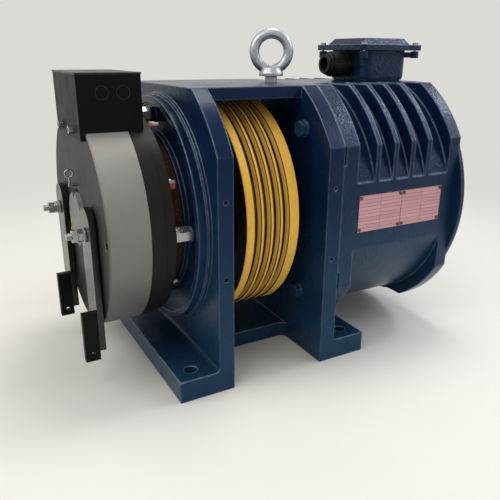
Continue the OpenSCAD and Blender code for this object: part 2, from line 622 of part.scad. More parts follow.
module eye_bolt() color("#b4b6b8") translate([eye_x, eye_y, z_top]) {
  translate([0, 0, eye_shank + eye_d / 2 + 2.4]) rotate([0, 0, eye_turn]) rotate([90, 0, 0])
    rotate_extrude() translate([eye_d / 2 - eye_bar_d / 2, 0]) circle(r = eye_bar_d / 2, $fn = 40);
  translate([0, 0, eye_shank]) rotate_extrude() polygon([[0, 0], [22, 0], [23, 1], [23, 5],
    [18.5, 15], [0, 15]]);
  cylinder(h = eye_shank + 1, r = eye_thread_d / 2 + 1.4);
  translate([0, 0, -32]) cylinder(h = 33, r = eye_thread_d / 2 - seat_gap);
}
module nameplates() color("#cfa3a6") difference() {
  for (x = plate_xs) translate([x, -frame_y - 1, plate_z]) cube([plate_w, 1, plate_h]);
  for (x = plate_xs, dx = [4, plate_w - 4], dz = [4, plate_h - 4])
    translate([x + dx, -frame_y + 1, plate_z + dz]) rotate([90, 0, 0])
      cylinder(h = 3, r = 1.6, $fn = 24);
}
module nameplate_rivets() color("#b9bcc0") for (x = plate_xs, dx = [4, plate_w - 4], dz = [4, plate_h - 4])
  translate([x + dx, -frame_y, plate_z + dz]) rotate([90, 0, 0]) {
    cylinder(h = 1, r = 1.6 - seat_gap, $fn = 24);
    translate([0, 0, 1]) cylinder(h = 1.2, r = 3, $fn = 24);
  }

module magnet_body() color("#9b9a96") difference() {
  turned([[40, x_mag0 + 6], [52, x_mag0 + 6], [52, x_mag0], [magnet_r - 2, x_mag0],
    [magnet_r, x_mag0 + 2], [magnet_r, x_ring0], [142, x_ring0], [142, x_ring0 - 40],
    [112, x_ring0 - 40], [112, x_ring0], [40, x_ring0]]);
  for (a = spacer_angles) {
    polar_pin(x_mag0 - 1, x_ring0 + 1, spacer_pcr, a, 6.5);
    polar_pin(x_mag0 - 1, x_mag0 + 13, spacer_pcr, a, 10);
  }
  for (s = [-1, 1]) xpin(x_mag0 - 1, x_ring0 + 1, s * lever_y, shaft_h, stud_d / 2 + 0.6);
  for (y = sb_ys) xpin(x_mag0 - 1, x_mag0 + 22, y, sb_screw_z, 4);
  for (a = [0 : 45 : 315]) polar_pin(x_ring0 - 28, x_ring0 + 1, 66, a, 9);
  xpin(x_mag0 - 1, x_mag0 + 18, 0, shaft_h + 60, 3);
  translate([x_mag0 + 10, -34, shaft_h + magnet_r - 3]) cube([50, 68, 9]);
}
module brake_coils() color("#7a3b1c")
  ring(x_ring0 - 39, x_ring0 - 3, 142 - 0.5, 112 + 0.5);
module brake_springs() color("#6f7276") for (a = [0 : 45 : 315]) difference() {
  polar_pin(x_ring0 - 28, x_ring0, 66, a, 8.5);
  polar_pin(x_ring0 - 29, x_ring0 + 1, 66, a, 5.5);
}
module brake_ring() color("#1e1f21") difference() {
  turned([[ring_r - 34, x_ring0], [ring_r, x_ring0], [ring_r, x_ring1 - 17.5],
    [ring_step_r, x_ring1 - 16.5], [ring_step_r, x_ring1], [ring_r - 34, x_ring1]]);
  for (a = spacer_angles) polar_pin(x_ring0 - 1, x_ring1 + 1, spacer_pcr, a, 6.5);
}
module armature_half(s) difference() {
  ring(x_arm0, x_arm1, ring_r - 36, 54);
  translate([x_arm0 - 1, s < 0 ? -1 : -200, shaft_h - 200])
    cube([x_arm1 - x_arm0 + 2, 201, 400]);
  xpin(x_arm0 - 1, x_arm0 + 26, s * lever_y, shaft_h, stud_d / 2);
}
module armature_near() color("#3a3b3e") armature_half(-1);
module armature_far() color("#3a3b3e") armature_half(1);
module spline_shape(x0, x1, r, grow) {
  rod(x0, x1, r + grow);
  for (k = [0:2]) translate([x0, 0, shaft_h]) rotate([k * 60, 0, 0])
    translate([0, -r - 7 - grow, -5 - grow]) cube([x1 - x0, 2 * (r + 7 + grow), 10 + 2 * grow]);
}
module friction_disc() color("#5a3226") difference() {
  union() {
    ring(x_disc0, x_disc1, disc_r, 62);
    rod(x_disc0 + 6, x_disc1 - 6, 63);
  }
  spline_shape(x_disc0 - 1, x_disc1 + 1, 40, 0.08);
}
module brake_hub() color("#8d8f92") difference() {
  spline_shape(x_disc0 - 2, x_disc1 + 2, 40, 0);
  rod(x_disc0 - 3, x_disc1 + 3, 32 + seat_gap);
}
module spacer_nuts() color("#c6c8ca") for (a = spacer_angles) difference() {
  polar_hex(x_ring1, x_boss, spacer_pcr, a, spacer_af);
  polar_pin(x_ring1 - 1, x_boss + 1, spacer_pcr, a, 6.5);
}
module brake_bolts() color("#5f6266") for (a = spacer_angles) difference() {
  union() {
    polar_pin(x_mag0 + 1, x_mag0 + 13, spacer_pcr, a, 9);
    polar_pin(x_mag0 + 12, xb0 + 12, spacer_pcr, a, 6 - seat_gap);
  }
  polar_hex(x_mag0, x_mag0 + 7, spacer_pcr, a, 10);
}
module ring_screws() color("#c6c8ca") for (a = [29, 151, 213, 327]) {
  polar_pin(x_ring1, x_ring1 + 8, ring_r - 20, a, 6.5);
  polar_pin(x_ring1 + 7, x_ring1 + 14, ring_r - 20, a, 4);
}
module center_cap() color("#b8babb") difference() {
  union() {
    rod(x_mag0 - 7, x_mag0 + 6, 46);
    rod(x_mag0 + 5, x_mag0 + 12, 40 - 0.05);
  }
  rod(x_mag0 + 1, x_mag0 + 13, 34);
  translate([x_mag0 - 8, -7, shaft_h + 38]) cube([6, 14, 9]);
}

// Release lever: flat plate with a round top, hinged on the bump at its back
module lever(y) difference() {
  union() {
    translate([x_lever1, y, z_pivot]) rotate([0, -90, 0]) rotate([0, 0, -90])
      linear_extrude(lever_t) polygon(concat(
        [[-lever_w / 2, -lever_drop - lever_arm], [lever_w / 2, -lever_drop - lever_arm]],
        [for (i = [0:24]) [lever_w / 2 * cos(i * 7.5), lever_w / 2 * sin(i * 7.5)]]));
    translate([x_lever1, y - lever_w / 2 + 6, z_pivot]) rotate([-90, 0, 0])
      cylinder(h = lever_w - 12, r = lever_stand - 0.1, $fn = 32);
  }
  xpin(x_lever0 - 1, x_lever1 + 3, y, shaft_h, stud_d / 2 + 1.4);
}
module lever_near() color("#161617") lever(-lever_y);
module lever_far() color("#161617") lever(lever_y);
module handle(y) translate([x_lever0 - handle_x, y - lever_w / 2, shaft_h - lever_drop - 16])
  difference() {
    cube([handle_x, handle_t, handle_h]);
    translate([13, -1, 12]) rotate([-90, 0, 0]) cylinder(h = handle_t + 2, d = handle_hole_d);
  }
module handle_near() color("#161617") handle(-lever_y);
module handle_far() color("#161617") handle(lever_y);
module stud(y) {
  xpin(x_lever0 - 28, x_arm0 + 22, y, shaft_h, stud_d / 2 - seat_gap);
  xpin(x_lever0 - 30, x_lever0 - 27, y, shaft_h, stud_d / 2 - 1.5);
}
module stud_near() color("#c6c8ca") stud(-lever_y);
module stud_far() color("#c6c8ca") stud(lever_y);
module stud_nuts(y) difference() {
  x = x_lever0 - release_play;
  union() {
    xpin(x - 2.5, x, y, shaft_h, 12);
    translate([x - 11.5, y, shaft_h]) rotate([0, 90, 0])
      cylinder(h = 9.05, r = 19 / sqrt(3), $fn = 6);
    translate([x - 20.5, y, shaft_h]) rotate([0, 90, 0]) rotate([0, 0, 20])
      cylinder(h = 8.5, r = 19 / sqrt(3), $fn = 6);
  }
  xpin(x - 22, x + 1, y, shaft_h, stud_d / 2);
}
module stud_nuts_near() color("#c6c8ca") stud_nuts(-lever_y);
module stud_nuts_far() color("#c6c8ca") stud_nuts(lever_y);
module lock_pin() color("#c6c8ca") {
  xpin(x_mag0 - 13, x_mag0 + 16, 0, shaft_h + 60, 3 - seat_gap);
  translate([x_mag0 - 11, 0, shaft_h + 60]) cylinder(h = 13.5, r = 1.7, $fn = 24);
  translate([x_mag0 - 11, 0, shaft_h + 79.5]) rotate([90, 0, 0])
    rotate_extrude() translate([6.6, 0]) circle(r = 1.3, $fn = 24);
}

module switch_box() color("#1d1d1e") difference() {
  union() {
    difference() {
      translate([sb_x0, sb_y0, sb_z0]) cube([sbox_x, 2 * sbox_y, sbox_h]);
      translate([sb_x0 + sbox_t, sb_y0 + sbox_t, sb_z0 - 1])
        cube([sbox_x - 2 * sbox_t, 2 * (sbox_y - sbox_t), sbox_h + 2]);
    }
    translate([sb_x0 + 0.2, sb_y0 + 0.4, sb_z0 - 10])
      cube([x_mag0 - sb_x0 - 0.2, 2 * sbox_y - 0.8, 28]);
  }
  rod(x_mag0 + 0.001, x_ring1 + 40, magnet_r + 0.3);
  for (x = [knockout_x, knockout_x + knockout_pitch])
    translate([sb_x0 + x, sb_y0 - 1, sb_z0 + 59.5]) rotate([-90, 0, 0])
      cylinder(h = sbox_t + 2, d = knockout_d, $fn = 48);
  for (y = sb_ys) xpin(sb_x0 - 1, x_mag0 + 1, y, sb_screw_z, 4.2);
  translate([sb_x1 - sbox_t - 1, sbox_shift + 40, sb_z0 + 50]) rotate([0, 90, 0])
    cylinder(h = sbox_t + 2, r = 7, $fn = 32);
}
module switch_box_lid() color("#1d1d1e")
  translate([sb_x0 - 1, sb_y0 - 1, sb_z1]) cube([sbox_x + 2, 2 * sbox_y + 2, sbox_t]);
module switch_box_screws() color("#c6c8ca") for (y = sb_ys) difference() {
  union() {
    xpin(sb_x0 - 8, sb_x0, y, sb_screw_z, 6.5);
    xpin(sb_x0 - 1, x_mag0 + 20, y, sb_screw_z, 4 - seat_gap);
  }
  translate([sb_x0 - 9, y, sb_screw_z]) rotate([0, 90, 0])
    cylinder(h = 5, r = 6 / sqrt(3), $fn = 6);
}
module knockout_plugs() color("#1d1d1e") for (x = [knockout_x, knockout_x + knockout_pitch])
  translate([sb_x0 + x, sb_y0, sb_z0 + 59.5]) rotate([-90, 0, 0])
    cylinder(h = sbox_t, d = knockout_d - 0.1, $fn = 48);
module brake_switches() color("#2b2b2d") {
  z = shaft_h + magnet_r - 3;
  translate([x_mag0 + 12, -30, z]) cube([46, 60, 3]);
  for (y = [-26, 8]) translate([x_mag0 + 18, y, z + 3]) {
    cube([34, 18, 20]);
    translate([10, 9, 20]) cylinder(h = 5, r = 3, $fn = 24);
  }
}

main_frame();
traction_sheave();
main_shaft();
sheave_screws();
bearing_outer_rings();
bearing_inner_rings();
bearing_rollers();
bearing_caps();
motor_housing();
stator_core();
stator_windings();
rotor_drum();
rotor_magnets();
rotor_screws();
rear_cover();
rear_cover_screws();
encoder_body();
encoder_wheel();
encoder_cover();
flange_bolts();
terminal_box();
terminal_gasket();
terminal_lid();
terminal_lid_screws();
terminal_block();
cable_gland();
gland_nut();
eye_bolt();
nameplates();
nameplate_rivets();
magnet_body();
brake_coils();
brake_springs();
brake_ring();
armature_near();
armature_far();
friction_disc();
brake_hub();
spacer_nuts();
brake_bolts();
ring_screws();
center_cap();
lever_near();
lever_far();
handle_near();
handle_far();
stud_near();
stud_far();
stud_nuts_near();
stud_nuts_far();
lock_pin();
switch_box();
switch_box_lid();
switch_box_screws();
knockout_plugs();
brake_switches();
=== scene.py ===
import json
import math

import bpy
from mathutils import Matrix, Vector


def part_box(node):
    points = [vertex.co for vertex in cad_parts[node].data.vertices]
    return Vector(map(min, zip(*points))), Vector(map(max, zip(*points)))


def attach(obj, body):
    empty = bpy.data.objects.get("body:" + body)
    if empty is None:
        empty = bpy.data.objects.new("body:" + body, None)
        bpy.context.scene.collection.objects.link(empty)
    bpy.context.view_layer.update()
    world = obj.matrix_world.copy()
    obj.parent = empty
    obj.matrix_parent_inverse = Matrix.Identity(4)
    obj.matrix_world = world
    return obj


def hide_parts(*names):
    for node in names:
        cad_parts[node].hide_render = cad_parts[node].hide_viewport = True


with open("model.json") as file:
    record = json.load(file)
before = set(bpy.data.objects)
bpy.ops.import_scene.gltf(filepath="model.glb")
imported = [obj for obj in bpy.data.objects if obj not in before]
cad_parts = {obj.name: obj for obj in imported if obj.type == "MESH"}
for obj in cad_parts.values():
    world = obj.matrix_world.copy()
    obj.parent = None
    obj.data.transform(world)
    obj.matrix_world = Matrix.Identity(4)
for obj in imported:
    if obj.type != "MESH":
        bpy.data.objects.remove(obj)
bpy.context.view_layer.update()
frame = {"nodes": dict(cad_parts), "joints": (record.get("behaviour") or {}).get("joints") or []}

bl_info = {
    "name": "Elevator Traction Machine",
    "version": (1, 0, 0),
    "blender": (4, 5, 0),
    "location": "3D View > Sidebar > Machine",
    "description": "Finishes and fine parts of a gearless elevator traction machine",
    "category": "Object",
}

NODES = frame["nodes"]
SHAFT_Z = next(j for j in frame["joints"] if j["name"] == "rotor_spin")["pos_m"][2]
ALONG_X = Matrix.Rotation(math.radians(90), 4, "Y")

# Settings and sockets that many nodes share
BLEND = {"data_type": "RGBA"}
MULTIPLY = {"data_type": "RGBA", "blend_type": "MULTIPLY"}
FIRST, SECOND, MIXED = 6, 7, 2  # colour inputs and output of a Mix node
NOISE = {"From Min": 0.3, "From Max": 0.7}  # where most of a noise texture's values lie

# Lamps: name, place, target, width in metres, power in watts, tint
LAMPS = (
    ("key", (-1.5, -1.1, 2.6), (0, 0, 0.3), 1.1, 12, "#fffaf2"),
    ("top", (0.6, 0.35, 2.9), (0.1, 0, 0.3), 1.0, 31, "#fff8ec"),
    ("left", (-2.2, 0.2, 2.0), (0, 0, 0.3), 1.4, 26, "#fffaf2"),
    ("right", (1.9, -1.1, 1.6), (0.25, -0.2, 0.4), 1.3, 14, "#edf2ff"),
    ("shine", (2.0, -0.3, 2.0), (0.2, -0.1, 0.4), 0.4, 12, "#eaf2ff"))

# Small blocks: name, finish, size and centre in metres, tilt about the shaft in degrees
BLOCKS = (
    ("terminal_sleeve", "red", (0.016, 0.017, 0.006), (-0.1570, -0.060, 0.4235), 0),
    ("terminal_tip_a", "white", (0.012, 0.005, 0.005), (-0.1510, -0.066, 0.4285), 0),
    ("terminal_tip_b", "white", (0.012, 0.005, 0.005), (-0.1510, -0.053, 0.4285), 0),
    ("ring_sleeve", "red", (0.011, 0.005, 0.010), (-0.1590, -0.154, 0.3435), 0),
    ("cap_strip", "yellow", (0.0014, 0.003, 0.027), (-0.2796, 0.0335, 0.2490), 25))


def srgb(code):
    """Turn an sRGB hex colour such as #22304a into linear values."""
    values = [int(code[i:i + 2], 16) / 255 for i in (1, 3, 5)]
    return tuple(v / 12.92 if v <= 0.04045 else ((v + 0.055) / 1.055) ** 2.4 for v in values)


def add(tree, kind, settings=None, inputs=None):
    """Add a node, set its properties, and set or link its inputs."""
    node = tree.nodes.new(kind)
    for key, value in (settings or {}).items():
        setattr(node, key, value)
    for key, value in (inputs or {}).items():
        if isinstance(value, bpy.types.NodeSocket):
            tree.links.new(value, node.inputs[key])
        else:
            node.inputs[key].default_value = value
    return node


def rgba(colour):
    return (*colour, 1.0)


# ---------------------------------------------------------------- settings

class FinishSettings(bpy.types.PropertyGroup):
    enamel: bpy.props.FloatVectorProperty(
        name="Enamel", description="Colour of the sprayed enamel on the castings",
        subtype="COLOR", size=3, min=0, max=1, default=srgb("#081d3a"))
    # Painted reflection of the pale floor: the lighter, bluer enamel that the castings take low
    # down
    enamel_floor_lit: bpy.props.FloatVectorProperty(
        name="Enamel lit by the floor", description="Enamel with a painted reflection of the floor low down",
        subtype="COLOR", size=3, min=0, max=1, default=srgb("#1b3750"))
    # Lighter enamel on edges: a thinner film with a painted highlight
    enamel_worn_highlight: bpy.props.FloatVectorProperty(
        name="Enamel on edges", description="Thinner enamel with a painted highlight on exposed edges",
        subtype="COLOR", size=3, min=0, max=1, default=srgb("#9fb1c6"))
    sheave: bpy.props.FloatVectorProperty(
        name="Sheave enamel", description="Colour of the enamel on the traction sheave",
        subtype="COLOR", size=3, min=0, max=1, default=srgb("#e8b445"))
    # Grime and painted shade down in the rope grooves
    groove_grime_and_shade: bpy.props.FloatVectorProperty(
        name="Groove grime and shade", description="Oil, dust and painted shade at the bottom of the rope grooves",
        subtype="COLOR", size=3, min=0, max=1, default=srgb("#43310c"))
    turned_steel: bpy.props.FloatVectorProperty(
        name="Turned steel", description="Colour of the turned brake body",
        subtype="COLOR", size=3, min=0, max=1, default=srgb("#92918e"))
    brake_face: bpy.props.FloatVectorProperty(
        name="Brake face", description="Colour of the phosphated end face of the brake body",
        subtype="COLOR", size=3, min=0, max=1, default=srgb("#3c3d40"))
    zinc: bpy.props.FloatVectorProperty(
        name="Zinc", description="Colour of the zinc plated fasteners",
        subtype="COLOR", size=3, min=0, max=1, default=srgb("#a6a7aa"))
    black_paint: bpy.props.FloatVectorProperty(
        name="Black paint", description="Colour of the painted levers and sheet metal",
        subtype="COLOR", size=3, min=0, max=1, default=srgb("#0c0c0d"))
    lining: bpy.props.FloatVectorProperty(
        name="Lining", description="Colour of the pressed friction lining",
        subtype="COLOR", size=3, min=0, max=1, default=srgb("#42261d"))
    plate: bpy.props.FloatVectorProperty(
        name="Nameplate", description="Colour of the anodised blank plates",
        subtype="COLOR", size=3, min=0, max=1, default=srgb("#c3959b"))
    edge_mm: bpy.props.FloatProperty(
        name="Edge radius", description="Radius of the rounding on cast edges, in millimetres",
        min=0, max=8, default=4.2)


class ThreadSettings(bpy.types.PropertyGroup):
    pitch: bpy.props.FloatProperty(
        name="Pitch", description="Thread pitch of the release studs",
        unit="LENGTH", min=0.0005, max=0.004, default=0.00175)
    depth: bpy.props.FloatProperty(
        name="Depth", description="Thread depth of the release studs",
        unit="LENGTH", min=0.0002, max=0.002, default=0.0009)


class GlandSettings(bpy.types.PropertyGroup):
    flutes: bpy.props.IntProperty(
        name="Flutes", description="Grip flutes around the gland nut", min=6, max=60, default=24)
    depth: bpy.props.FloatProperty(
        name="Flute depth", description="Depth of the grip flutes",
        unit="LENGTH", min=0, max=0.003, default=0.0011)


class StageSettings(bpy.types.PropertyGroup):
    floor: bpy.props.FloatVectorProperty(
        name="Floor", description="Colour of the floor",
        subtype="COLOR", size=3, min=0, max=1, default=srgb("#dddcd7"))
    backdrop: bpy.props.FloatProperty(
        name="Backdrop", description="Brightness of the backdrop behind the floor",
        min=0, max=2, default=0.98)
    camera_place: bpy.props.FloatVectorProperty(
        name="Camera place", description="Place of the camera", subtype="TRANSLATION",
        size=3, unit="LENGTH", default=(-0.4619, -0.9506, 0.5359))
    azimuth: bpy.props.FloatProperty(
        name="Azimuth", description="Turn of the camera about the vertical",
        subtype="ANGLE", default=math.radians(-29.04))
    pitch: bpy.props.FloatProperty(
        name="Pitch", description="Downward tilt of the camera",
        subtype="ANGLE", default=math.radians(19.39))
    roll: bpy.props.FloatProperty(
        name="Roll", description="Roll of the camera", subtype="ANGLE", default=math.radians(0.37))
    lens: bpy.props.FloatProperty(
        name="Lens", description="Focal length in millimetres on a 36 mm sensor",
        min=10, max=200, default=39.87)


# --------------------------------------------------------------- materials

def begin(name, roughness, metallic=0.0, coat=0.0, coat_roughness=0.1, specular=0.5):
    """Start a material with its shader and the piece's own coordinates."""
    mat = bpy.data.materials.new(name)
    mat.use_nodes = True
    tree = mat.node_tree
    tree.nodes.clear()
    shader = add(tree, "ShaderNodeBsdfPrincipled", None, {
        "Roughness": roughness, "Metallic": metallic,
        "Specular IOR Level": specular, "Coat Weight": coat, "Coat Roughness": coat_roughness})
    add(tree, "ShaderNodeOutputMaterial", None, {"Surface": shader.outputs["BSDF"]})
    place = add(tree, "ShaderNodeTexCoord").outputs["Object"]
    return mat, tree, shader, place


def shaft_polar(tree, place):
    """Distance from the shaft and position along it, for marks left by turning."""
    centred = add(tree, "ShaderNodeMapping", None, {
        "Vector": place, "Location": (0, 0, -SHAFT_Z)})
    parts = add(tree, "ShaderNodeSeparateXYZ", None, {"Vector": centred.outputs[0]})
    flat = add(tree, "ShaderNodeCombineXYZ", None, {
        "Y": parts.outputs["Y"], "Z": parts.outputs["Z"]})
    radius = add(tree, "ShaderNodeVectorMath", {"operation": "LENGTH"}, {0: flat.outputs[0]})
    return radius.outputs["Value"], parts.outputs["X"]


def edge_mask(tree, radius_m):
    """Rounded normal, and a mask that is high on outer and inner edges."""
    bevel = add(tree, "ShaderNodeBevel", {"samples": 6}, {"Radius": radius_m})
    true_normal = add(tree, "ShaderNodeNewGeometry").outputs["Normal"]
    dot = add(tree, "ShaderNodeVectorMath", {"operation": "DOT_PRODUCT"},
              {0: bevel.outputs[0], 1: true_normal})
    # The mask starts where the rounded normal leans by 6 degrees and is full at 37 degrees
    mask = add(tree, "ShaderNodeMapRange", None, {
        "Value": dot.outputs["Value"], "From Min": 0.995, "From Max": 0.80})
    return bevel.outputs[0], mask.outputs[0]


def enamel(name, base, low, worn_highlight, grain_mm, depth_mm, roughness, edge_m, specular):
    """Sprayed enamel over a casting: the cast skin shows through a semi-gloss film."""
    mat, tree, shader, place = begin(
        name, roughness, coat=0.1, coat_roughness=0.08, specular=specular)
    # The deep blue film tints what it mirrors
    shader.inputs["Specular Tint"].default_value = rgba(srgb("#a4c6ef"))
    normal, edges = edge_mask(tree, edge_m)
    # Hand spraying leaves patches about 90 mm wide that are a little lighter or darker
    drift = add(tree, "ShaderNodeTexNoise", None, {
        "Vector": place, "Scale": 11.0, "Detail": 3.0, "Roughness": 0.55})
    tone = add(tree, "ShaderNodeMapRange", None, {
        "Value": drift.outputs[0], **NOISE, "To Min": 0.82, "To Max": 1.18})
    # Painted reflection of the pale floor: the enamel turns lighter and bluer below about 420 mm
    height = add(tree, "ShaderNodeSeparateXYZ", None, {"Vector": place})
    dust_and_floor_reflection = add(tree, "ShaderNodeMapRange", {"interpolation_type": "SMOOTHSTEP"}, {
        "Value": height.outputs["Z"], "From Min": 0.42, "From Max": 0.06})
    film_colour = add(tree, "ShaderNodeMix", BLEND, {
        "Factor": dust_and_floor_reflection.outputs[0], FIRST: rgba(base), SECOND: rgba(low)})
    body = add(tree, "ShaderNodeMix", MULTIPLY, {
        "Factor": 1.0, FIRST: film_colour.outputs[MIXED], SECOND: tone.outputs[0]})
    # Edges carry a thinner, lighter film and a painted highlight, broken up at about 15 mm
    chips = add(tree, "ShaderNodeTexNoise", None, {
        "Vector": place, "Scale": 65.0, "Detail": 3.0, "Roughness": 0.6})
    broken = add(tree, "ShaderNodeMapRange", None, {
        "Value": chips.outputs[0], "From Min": 0.38, "From Max": 0.62,
        "To Min": 0.4, "To Max": 0.8})
    # Painted light from above: edges that face up get more of the painted highlight
    facing = add(tree, "ShaderNodeSeparateXYZ", None, {"Vector": normal})
    upward = add(tree, "ShaderNodeMapRange", None, {
        "Value": facing.outputs["Z"], "From Max": 0.6, "To Min": 0.3})
    highlight_from_above = add(tree, "ShaderNodeMath", {"operation": "MULTIPLY"}, {
        0: edges, 1: upward.outputs[0]})
    wear_and_highlight = add(tree, "ShaderNodeMath", {"operation": "MULTIPLY"}, {
        0: highlight_from_above.outputs[0], 1: broken.outputs[0]})
    colour = add(tree, "ShaderNodeMix", BLEND, {
        "Factor": wear_and_highlight.outputs[0], FIRST: body.outputs[MIXED], SECOND: rgba(worn_highlight)})
    tree.links.new(colour.outputs[MIXED], shader.inputs["Base Color"])
    gloss = add(tree, "ShaderNodeMapRange", None, {
        "Value": drift.outputs[0], **NOISE,
        "To Min": roughness - 0.06, "To Max": roughness + 0.09})
    tree.links.new(gloss.outputs[0], shader.inputs["Roughness"])
    # Sand grain of the mould, drawn coarse enough to show
    grain = add(tree, "ShaderNodeTexNoise", None, {
        "Vector": place, "Scale": 1000.0 / grain_mm, "Detail": 5.0, "Roughness": 0.62})
    skin = add(tree, "ShaderNodeBump", None, {
        "Height": grain.outputs[0], "Distance": depth_mm / 1000, "Strength": 1.0,
        "Normal": normal})
    # Orange peel of the sprayed film, about 12 mm across
    peel = add(tree, "ShaderNodeTexNoise", None, {"Vector": place, "Scale": 80.0, "Detail": 1.0})
    film = add(tree, "ShaderNodeBump", None, {
        "Height": peel.outputs[0], "Distance": 0.0005, "Strength": 0.6, "Normal": skin.outputs[0]})
    tree.links.new(film.outputs[0], shader.inputs["Normal"])
    tree.links.new(film.outputs[0], shader.inputs["Coat Normal"])
    return mat


def sheave_enamel(name, base, grime_and_shade, radius_m):
    """Satin enamel sprayed over turned iron, with grime and painted shade down in the grooves and
    painted shade on the flat sides.
    """
    mat, tree, shader, place = begin(name, 0.42, specular=0.34)
    normal = edge_mask(tree, 0.0012)[0]
    radius, along = shaft_polar(tree, place)
    # Depths below the rim in metres: clean above the first, full grime and painted shade at the
    # second, painted shade below the third
    clean, grimy_shaded, shade_depth = 0.003, 0.0095, 0.016
    depth = add(tree, "ShaderNodeMapRange", None, {
        "Value": radius, "From Min": radius_m - clean, "From Max": radius_m - grimy_shaded})
    # Grime and painted shade gather unevenly, in smears about 25 mm long
    smear = add(tree, "ShaderNodeTexNoise", None, {
        "Vector": place, "Scale": 40.0, "Detail": 4.0, "Roughness": 0.6})
    spread = add(tree, "ShaderNodeMapRange", None, {
        "Value": smear.outputs[0], **NOISE, "To Min": 0.65, "To Max": 1.0})
    groove_shade = add(tree, "ShaderNodeMath", {"operation": "MULTIPLY", "use_clamp": True},
               {0: depth.outputs[0], 1: spread.outputs[0]})
    tone = add(tree, "ShaderNodeMapRange", None, {
        "Value": smear.outputs[0], **NOISE, "To Min": 0.93, "To Max": 1.07})
    body = add(tree, "ShaderNodeMix", MULTIPLY, {
        "Factor": 1.0, FIRST: rgba(base), SECOND: tone.outputs[0]})
    rim = add(tree, "ShaderNodeMix", BLEND, {
        "Factor": groove_shade.outputs[0], FIRST: body.outputs[MIXED], SECOND: rgba(grime_and_shade)})
    # Painted shade: the flat sides and the web are painted near-black, only the rim is yellow
    facing = add(tree, "ShaderNodeSeparateXYZ", None, {
        "Vector": add(tree, "ShaderNodeNewGeometry").outputs["True Normal"]})
    square = add(tree, "ShaderNodeMath", {"operation": "MULTIPLY"}, {
        0: facing.outputs["X"], 1: facing.outputs["X"]})
    inside = add(tree, "ShaderNodeMath", {"operation": "LESS_THAN"}, {
        0: radius, 1: radius_m - shade_depth})
    side = add(tree, "ShaderNodeMath", {"operation": "GREATER_THAN"}, {
        0: square.outputs[0], 1: 0.95})
    shaded_faces = add(tree, "ShaderNodeMath", {"operation": "MAXIMUM"}, {
        0: inside.outputs[0], 1: side.outputs[0]})
    colour = add(tree, "ShaderNodeMix", BLEND, {
        "Factor": shaded_faces.outputs[0], FIRST: rim.outputs[MIXED], SECOND: rgba(srgb("#1c1e22"))})
    tree.links.new(colour.outputs[MIXED], shader.inputs["Base Color"])
    # Tool marks run around the rim, about 1.5 mm apart
    turning = add(tree, "ShaderNodeCombineXYZ", None, {"X": along, "Y": radius})
    marks = add(tree, "ShaderNodeTexNoise", None, {
        "Vector": turning.outputs[0], "Scale": 650.0, "Detail": 2.0})
    bump = add(tree, "ShaderNodeBump", None, {
        "Height": marks.outputs[0], "Distance": 0.0002, "Strength": 0.5, "Normal": normal})
    tree.links.new(bump.outputs[0], shader.inputs["Normal"])
    return mat


def turned_metal(name, base, roughness, ring_mm, depth_m, metallic=1.0, end=None):
    """Metal cut on a lathe: fine rings around the shaft axis and cloudy reflections."""
    mat, tree, shader, place = begin(name, roughness, metallic=metallic, specular=0.3)
    normal = edge_mask(tree, 0.0008)[0]
    radius, along = shaft_polar(tree, place)
    rings = add(tree, "ShaderNodeCombineXYZ", None, {"X": along, "Y": radius})
    marks = add(tree, "ShaderNodeTexNoise", None, {
        "Vector": rings.outputs[0], "Scale": 1000.0 / ring_mm, "Detail": 3.0, "Roughness": 0.65})
    # Handling leaves soft stains about 50 mm wide
    stains = add(tree, "ShaderNodeTexNoise", None, {
        "Vector": place, "Scale": 20.0, "Detail": 4.0, "Roughness": 0.6})
    both = add(tree, "ShaderNodeMath", {"operation": "MULTIPLY_ADD"}, {
        0: marks.outputs[0], 1: 0.35, 2: stains.outputs[0]})
    tone = add(tree, "ShaderNodeMapRange", None, {
        "Value": both.outputs[0], "From Min": 0.4, "From Max": 0.95,
        "To Min": 0.86, "To Max": 1.05})
    # The end face toward -X is phosphated and darker than the turned side
    facing = add(tree, "ShaderNodeSeparateXYZ", None, {
        "Vector": add(tree, "ShaderNodeNewGeometry").outputs["True Normal"]})
    ended = add(tree, "ShaderNodeMapRange", None, {
        "Value": facing.outputs["X"], "From Min": -0.6, "From Max": -0.9})
    skin = add(tree, "ShaderNodeMix", BLEND, {
        "Factor": ended.outputs[0], FIRST: rgba(base), SECOND: rgba(end or base)})
    # Painted shade: the metal is darker toward the floor and lighter at the top
    height = add(tree, "ShaderNodeSeparateXYZ", None, {"Vector": place})
    shade_toward_floor = add(tree, "ShaderNodeMapRange", {"interpolation_type": "SMOOTHSTEP"}, {
        "Value": height.outputs["Z"], "From Min": 0.06, "From Max": 0.44,
        "To Min": 0.55, "To Max": 1.0})
    shade = add(tree, "ShaderNodeMath", {"operation": "MULTIPLY"}, {
        0: tone.outputs[0], 1: shade_toward_floor.outputs[0]})
    colour = add(tree, "ShaderNodeMix", MULTIPLY, {
        "Factor": 1.0, FIRST: skin.outputs[MIXED], SECOND: shade.outputs[0]})
    tree.links.new(colour.outputs[MIXED], shader.inputs["Base Color"])
    gloss = add(tree, "ShaderNodeMapRange", None, {
        "Value": both.outputs[0], "From Min": 0.4, "From Max": 0.95,
        "To Min": roughness - 0.05, "To Max": roughness + 0.1})
    tree.links.new(gloss.outputs[0], shader.inputs["Roughness"])
    bump = add(tree, "ShaderNodeBump", None, {
        "Height": marks.outputs[0], "Distance": depth_m, "Strength": 0.6, "Normal": normal})
    tree.links.new(bump.outputs[0], shader.inputs["Normal"])
    return mat


